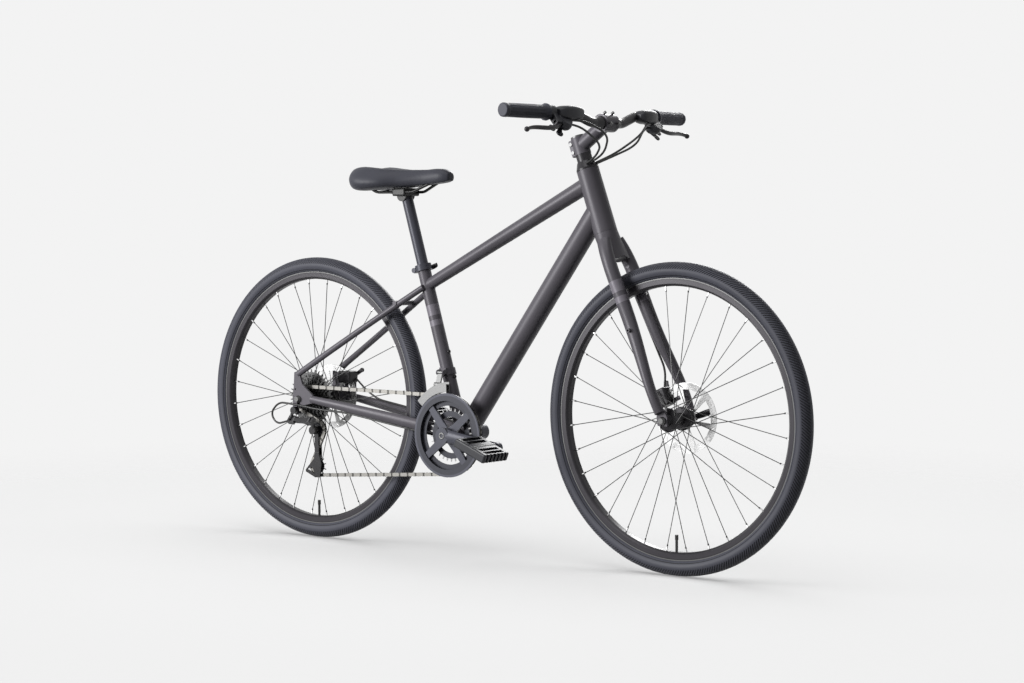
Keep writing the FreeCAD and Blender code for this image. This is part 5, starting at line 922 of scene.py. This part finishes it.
saddle_rings = [saddle_ring(row) for row in smooth_stations(SADDLE_STATIONS, STEPS_ALONG)]
saddle = closed_grid("saddle_cover", len(saddle_rings[0]), len(saddle_rings), lambda i, j: saddle_rings[j][i])
print("saddle form from", len(saddle_rings), "cross-sections")

# %% Pad the saddle
VOXEL, RELAX_PASSES, RELAX_SHARE = 0.003, 6, 0.5


def apply_modifiers(piece):
    """Give a piece the mesh that its modifiers make."""
    bpy.context.view_layer.update()
    ready = piece.evaluated_get(bpy.context.evaluated_depsgraph_get())
    mesh = bpy.data.meshes.new_from_object(ready)
    piece.modifiers.clear()
    piece.data = mesh


def relax(piece):
    """Rebuild a piece as an even, softened mesh."""
    remesh = piece.modifiers.new("even", "REMESH")
    remesh.mode = "VOXEL"
    remesh.voxel_size = VOXEL
    smooth = piece.modifiers.new("relax", "SMOOTH")
    smooth.factor = RELAX_SHARE
    smooth.iterations = RELAX_PASSES
    apply_modifiers(piece)
    piece.data.polygons.foreach_set("use_smooth", [True] * len(piece.data.polygons))


relax(saddle)
saddle_cover = finish("grained_cover", GRAIN, slate(0.042, 0.060), roughness=(0.40, 0.52), scale=1300.0, bump=0.30,
                      specular=0.2)
saddle.data.materials.append(saddle_cover)
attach(saddle, "seat")
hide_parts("saddle")
print(saddle.name, len(saddle.data.polygons), "faces,", len(saddle.data.materials), "material")

# %% [markdown]
# ## Gear displays
# Each shifter carries a moulded housing on top of the bar, where the rider reads the gear. The solids have the
# working part of the shifter, and this housing closes over it. It could be carved from a block, but its sides swell
# and taper, so it is lofted like the saddle: a few stations give its depth and height along the bar, and each ring
# is a rounded box.

# %% Loft the gear displays
DISPLAY_START, DISPLAY_LENGTH = Vector((0.3500, 0.1840, 1.0312)), 0.074
# Each station: share of the length from the outer end, half depth and half height in mm.
DISPLAY_STATIONS = ((0.00, 9.0, 7.5), (0.06, 14.5, 11.5), (0.22, 20.0, 15.5), (0.55, 21.5, 16.5),
                    (0.85, 18.0, 14.0), (0.96, 13.0, 10.0), (1.00, 8.0, 6.5))
DISPLAY_POINTS, BOXINESS = 40, 0.62


def boxed(value):
    """A sine or cosine, pushed out towards a box."""
    return math.copysign(abs(value) ** BOXINESS, value)


def gear_display(name, side):
    """A shifter's housing for one side of the bar."""
    start, inward = on_side(DISPLAY_START, side), -on_side(GRIP_WAY, side)
    rows = smooth_stations(DISPLAY_STATIONS, STEPS_ALONG)

    def point_at(i, j):
        share, deep, high = rows[j]
        turn = 2 * math.pi * i / DISPLAY_POINTS
        out = Vector((boxed(math.cos(turn)) * deep, 0.0, boxed(math.sin(turn)) * high))
        return start + inward * share * DISPLAY_LENGTH + out / MM_IN_M

    return closed_grid(name, DISPLAY_POINTS, len(rows), point_at)


for word, side in SIDES.items():
    display = gear_display(f"{word}_gear_display", side)
    display.data.materials.append(moulded)
    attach(display, "front_end")
    print(display.name, len(display.data.polygons), "faces")

# %% [markdown]
# ## Pedals
# A platform pedal is a moulded cage round a barrel that turns on the axle. Slots between its bars let mud through,
# and its front and rear edges are toothed for grip. It could be joined from many bars. Cutting is closer to the
# mould and leaves one closed mesh: we start from a rounded block, join the barrel to it, and cut the slots, the
# teeth and the axle's bore with boolean modifiers. On the bike each pedal hangs with its front low.

# %% Make blocks, rods and cuts
ROD_POINTS = 40


def add_block(shape, middle, size):
    """Add a box to a bmesh."""
    corners = bmesh.ops.create_cube(shape, size=1.0)["verts"]
    bmesh.ops.scale(shape, vec=size, verts=corners)
    bmesh.ops.translate(shape, vec=middle, verts=corners)


def add_rod(shape, radius, start, end):
    """Add a round rod along the axle's line to a bmesh."""
    turn = Matrix.Translation((0.0, (start + end) / 2, 0.0)) @ Matrix.Rotation(math.pi / 2, 4, "X")
    bmesh.ops.create_cone(shape, cap_ends=True, segments=ROD_POINTS, radius1=radius, radius2=radius,
                          depth=abs(end - start), matrix=turn)


def as_piece(shape, name):
    """Turn a finished bmesh into an object."""
    mesh = bpy.data.meshes.new(name)
    faced_outward(shape, mesh)
    return placed(name, mesh)


def combine(piece, shape, operation):
    """Join or cut a piece by a bmesh, which is used up."""
    other = as_piece(shape, "tool")
    step = piece.modifiers.new(operation.lower(), "BOOLEAN")
    step.operation, step.object, step.solver = operation, other, "EXACT"
    apply_modifiers(piece)
    bpy.data.objects.remove(other)


print("helpers to add blocks and rods, and to join or cut")

# %% Cut the pedals
PEDAL_SIZE = Vector((0.094, 0.090, 0.021))
PEDAL_ROUND, ROUND_STEPS, PEDAL_TILT = 0.0035, 3, math.radians(22)
PEDAL_MIDDLES = {"right": Vector((0.0931, -0.1369, 0.2672)), "left": Vector((-0.2451, 0.1369, 0.3028))}
BARREL_RADIUS, BARREL_SHORT, BORE_RADIUS, BORE_STOP = 0.0118, 0.001, 0.0062, 0.004
SLOT_PLACES, SLOT_LENGTH, CAGE_SIDE = (0.205, 0.37), 0.0115, 0.012
TEETH, TOOTH_GAP, TOOTH_DEPTH = 6, 0.0062, 0.0042


def platform_pedal(name, side):
    """A pedal round the origin, for one side of the bike."""
    length, width, height = PEDAL_SIZE
    open_width = width - 2 * CAGE_SIDE
    cage, barrel, bore = bmesh.new(), bmesh.new(), bmesh.new()
    add_block(cage, Vector(), PEDAL_SIZE)
    bmesh.ops.bevel(cage, geom=cage.edges[:], offset=PEDAL_ROUND, segments=ROUND_STEPS, profile=0.5,
                    affect="EDGES")
    pedal = as_piece(cage, name)
    add_rod(barrel, BARREL_RADIUS, -width / 2 + BARREL_SHORT, width / 2 - BARREL_SHORT)
    combine(pedal, barrel, "UNION")
    for end in (-1, 1):
        for share in SLOT_PLACES:
            slot = bmesh.new()
            add_block(slot, Vector((end * share * length, 0.0, 0.0)), Vector((SLOT_LENGTH, open_width, 2 * height)))
            combine(pedal, slot, "DIFFERENCE")
        gaps = bmesh.new()
        for k in range(TEETH):
            add_block(gaps, Vector((end * length / 2, open_width * (k / (TEETH - 1) - 0.5), 0.0)),
                      Vector((2 * TOOTH_DEPTH, TOOTH_GAP, 2 * height)))
        combine(pedal, gaps, "DIFFERENCE")
    add_rod(bore, BORE_RADIUS, -side * width, side * (width / 2 - BORE_STOP))
    combine(pedal, bore, "DIFFERENCE")
    return pedal


for word, side in SIDES.items():
    pedal = platform_pedal(f"{word}_pedal_cage", side)
    pedal.data.transform(Matrix.Translation(PEDAL_MIDDLES[word]) @ Matrix.Rotation(PEDAL_TILT, 4, "Y"))
    pedal.data.materials.append(moulded)
    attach(pedal, f"{word}_pedal_cage")
    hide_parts(f"{word}_pedal")
    print(pedal.name, len(pedal.data.polygons), "faces")

# %% [markdown]
# ## Crank bolts
# A bright bolt with a six-sided socket holds each crank on the spindle. The socket could be cut with a boolean. A
# turned piece is lighter: a ring of points each for the head's edge, its face, the socket's rim and its floor.

# %% Turn the crank bolts
BOLT_FACE, BOLT_POINTS = 0.0785, 48
# Each step of the profile: radius, how far it stands out of the crank's face, and 1 where it is six-sided.
BOLT_PROFILE = ((0.0082, -0.0030, 0), (0.0082, 0.0000, 0), (0.0076, 0.0008, 0), (0.0048, 0.0008, 1),
                (0.0046, -0.0025, 1))


def crank_bolt(name, side):
    """A socket bolt in the face of one crank."""
    def point_at(i, j):
        radius, out, six_sided = BOLT_PROFILE[j]
        turn = 2 * math.pi * i / BOLT_POINTS
        if six_sided:
            radius *= math.cos(math.pi / 6) / math.cos(turn % (math.pi / 3) - math.pi / 6)
        return BRACKET + Vector((radius * math.cos(turn), side * (BOLT_FACE + out), radius * math.sin(turn)))

    return closed_grid(name, BOLT_POINTS, len(BOLT_PROFILE), point_at)


for word, side in SIDES.items():
    bolt = crank_bolt(f"{word}_crank_bolt", side)
    bolt.data.materials.append(bright_steel)
    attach(bolt, "crankset")
    print(bolt.name, len(bolt.data.polygons), "faces")

# %% [markdown]
# ## Derailleur foot
# Below the lower jockey wheel, the outer plate of the derailleur's cage spreads into a flat foot with a
# three-cornered window. A sheet-metal part like this is stamped, so it is made the same way: an outline drawn out by
# its thickness, with the window cut from it. It lies against the cage and swings with it.

# %% Cut the derailleur's foot
FOOT_FACE, FOOT_THICK = -0.0569, -0.0020
LOWER_JOCKEY = Vector((-0.4986, 0.0, 0.1850))
# Places in mm: down from the lower jockey wheel's axle, and behind it.
FOOT_OUTLINE = ((-34.0, 6.0), (-20.0, 7.0), (10.0, 36.0), (15.0, 36.0), (28.0, 4.0), (27.0, -12.0), (-8.0, -16.0),
                (-34.0, -6.0))
FOOT_WINDOW = ((8.0, 29.0), (2.0, 13.0), (20.0, 6.0))


def plate(outline, face, thick):
    """A flat plate as a bmesh, from an outline round the lower jockey wheel."""
    shape = bmesh.new()
    corners = [shape.verts.new((LOWER_JOCKEY.x - behind / MM_IN_M, face, LOWER_JOCKEY.z - down / MM_IN_M))
               for down, behind in outline]
    grown = bmesh.ops.extrude_face_region(shape, geom=[shape.faces.new(corners)])["geom"]
    far_side = [part for part in grown if isinstance(part, bmesh.types.BMVert)]
    bmesh.ops.translate(shape, vec=(0.0, thick, 0.0), verts=far_side)
    return shape


foot = as_piece(plate(FOOT_OUTLINE, FOOT_FACE, FOOT_THICK), "rear_cage_foot")
# The window's cutter stands out of the plate by its thickness on each side.
combine(foot, plate(FOOT_WINDOW, FOOT_FACE - FOOT_THICK, 3 * FOOT_THICK), "DIFFERENCE")
foot.data.materials.append(gloss_black)
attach(foot, "rear_cage")
print(foot.name, len(foot.data.polygons), "faces")
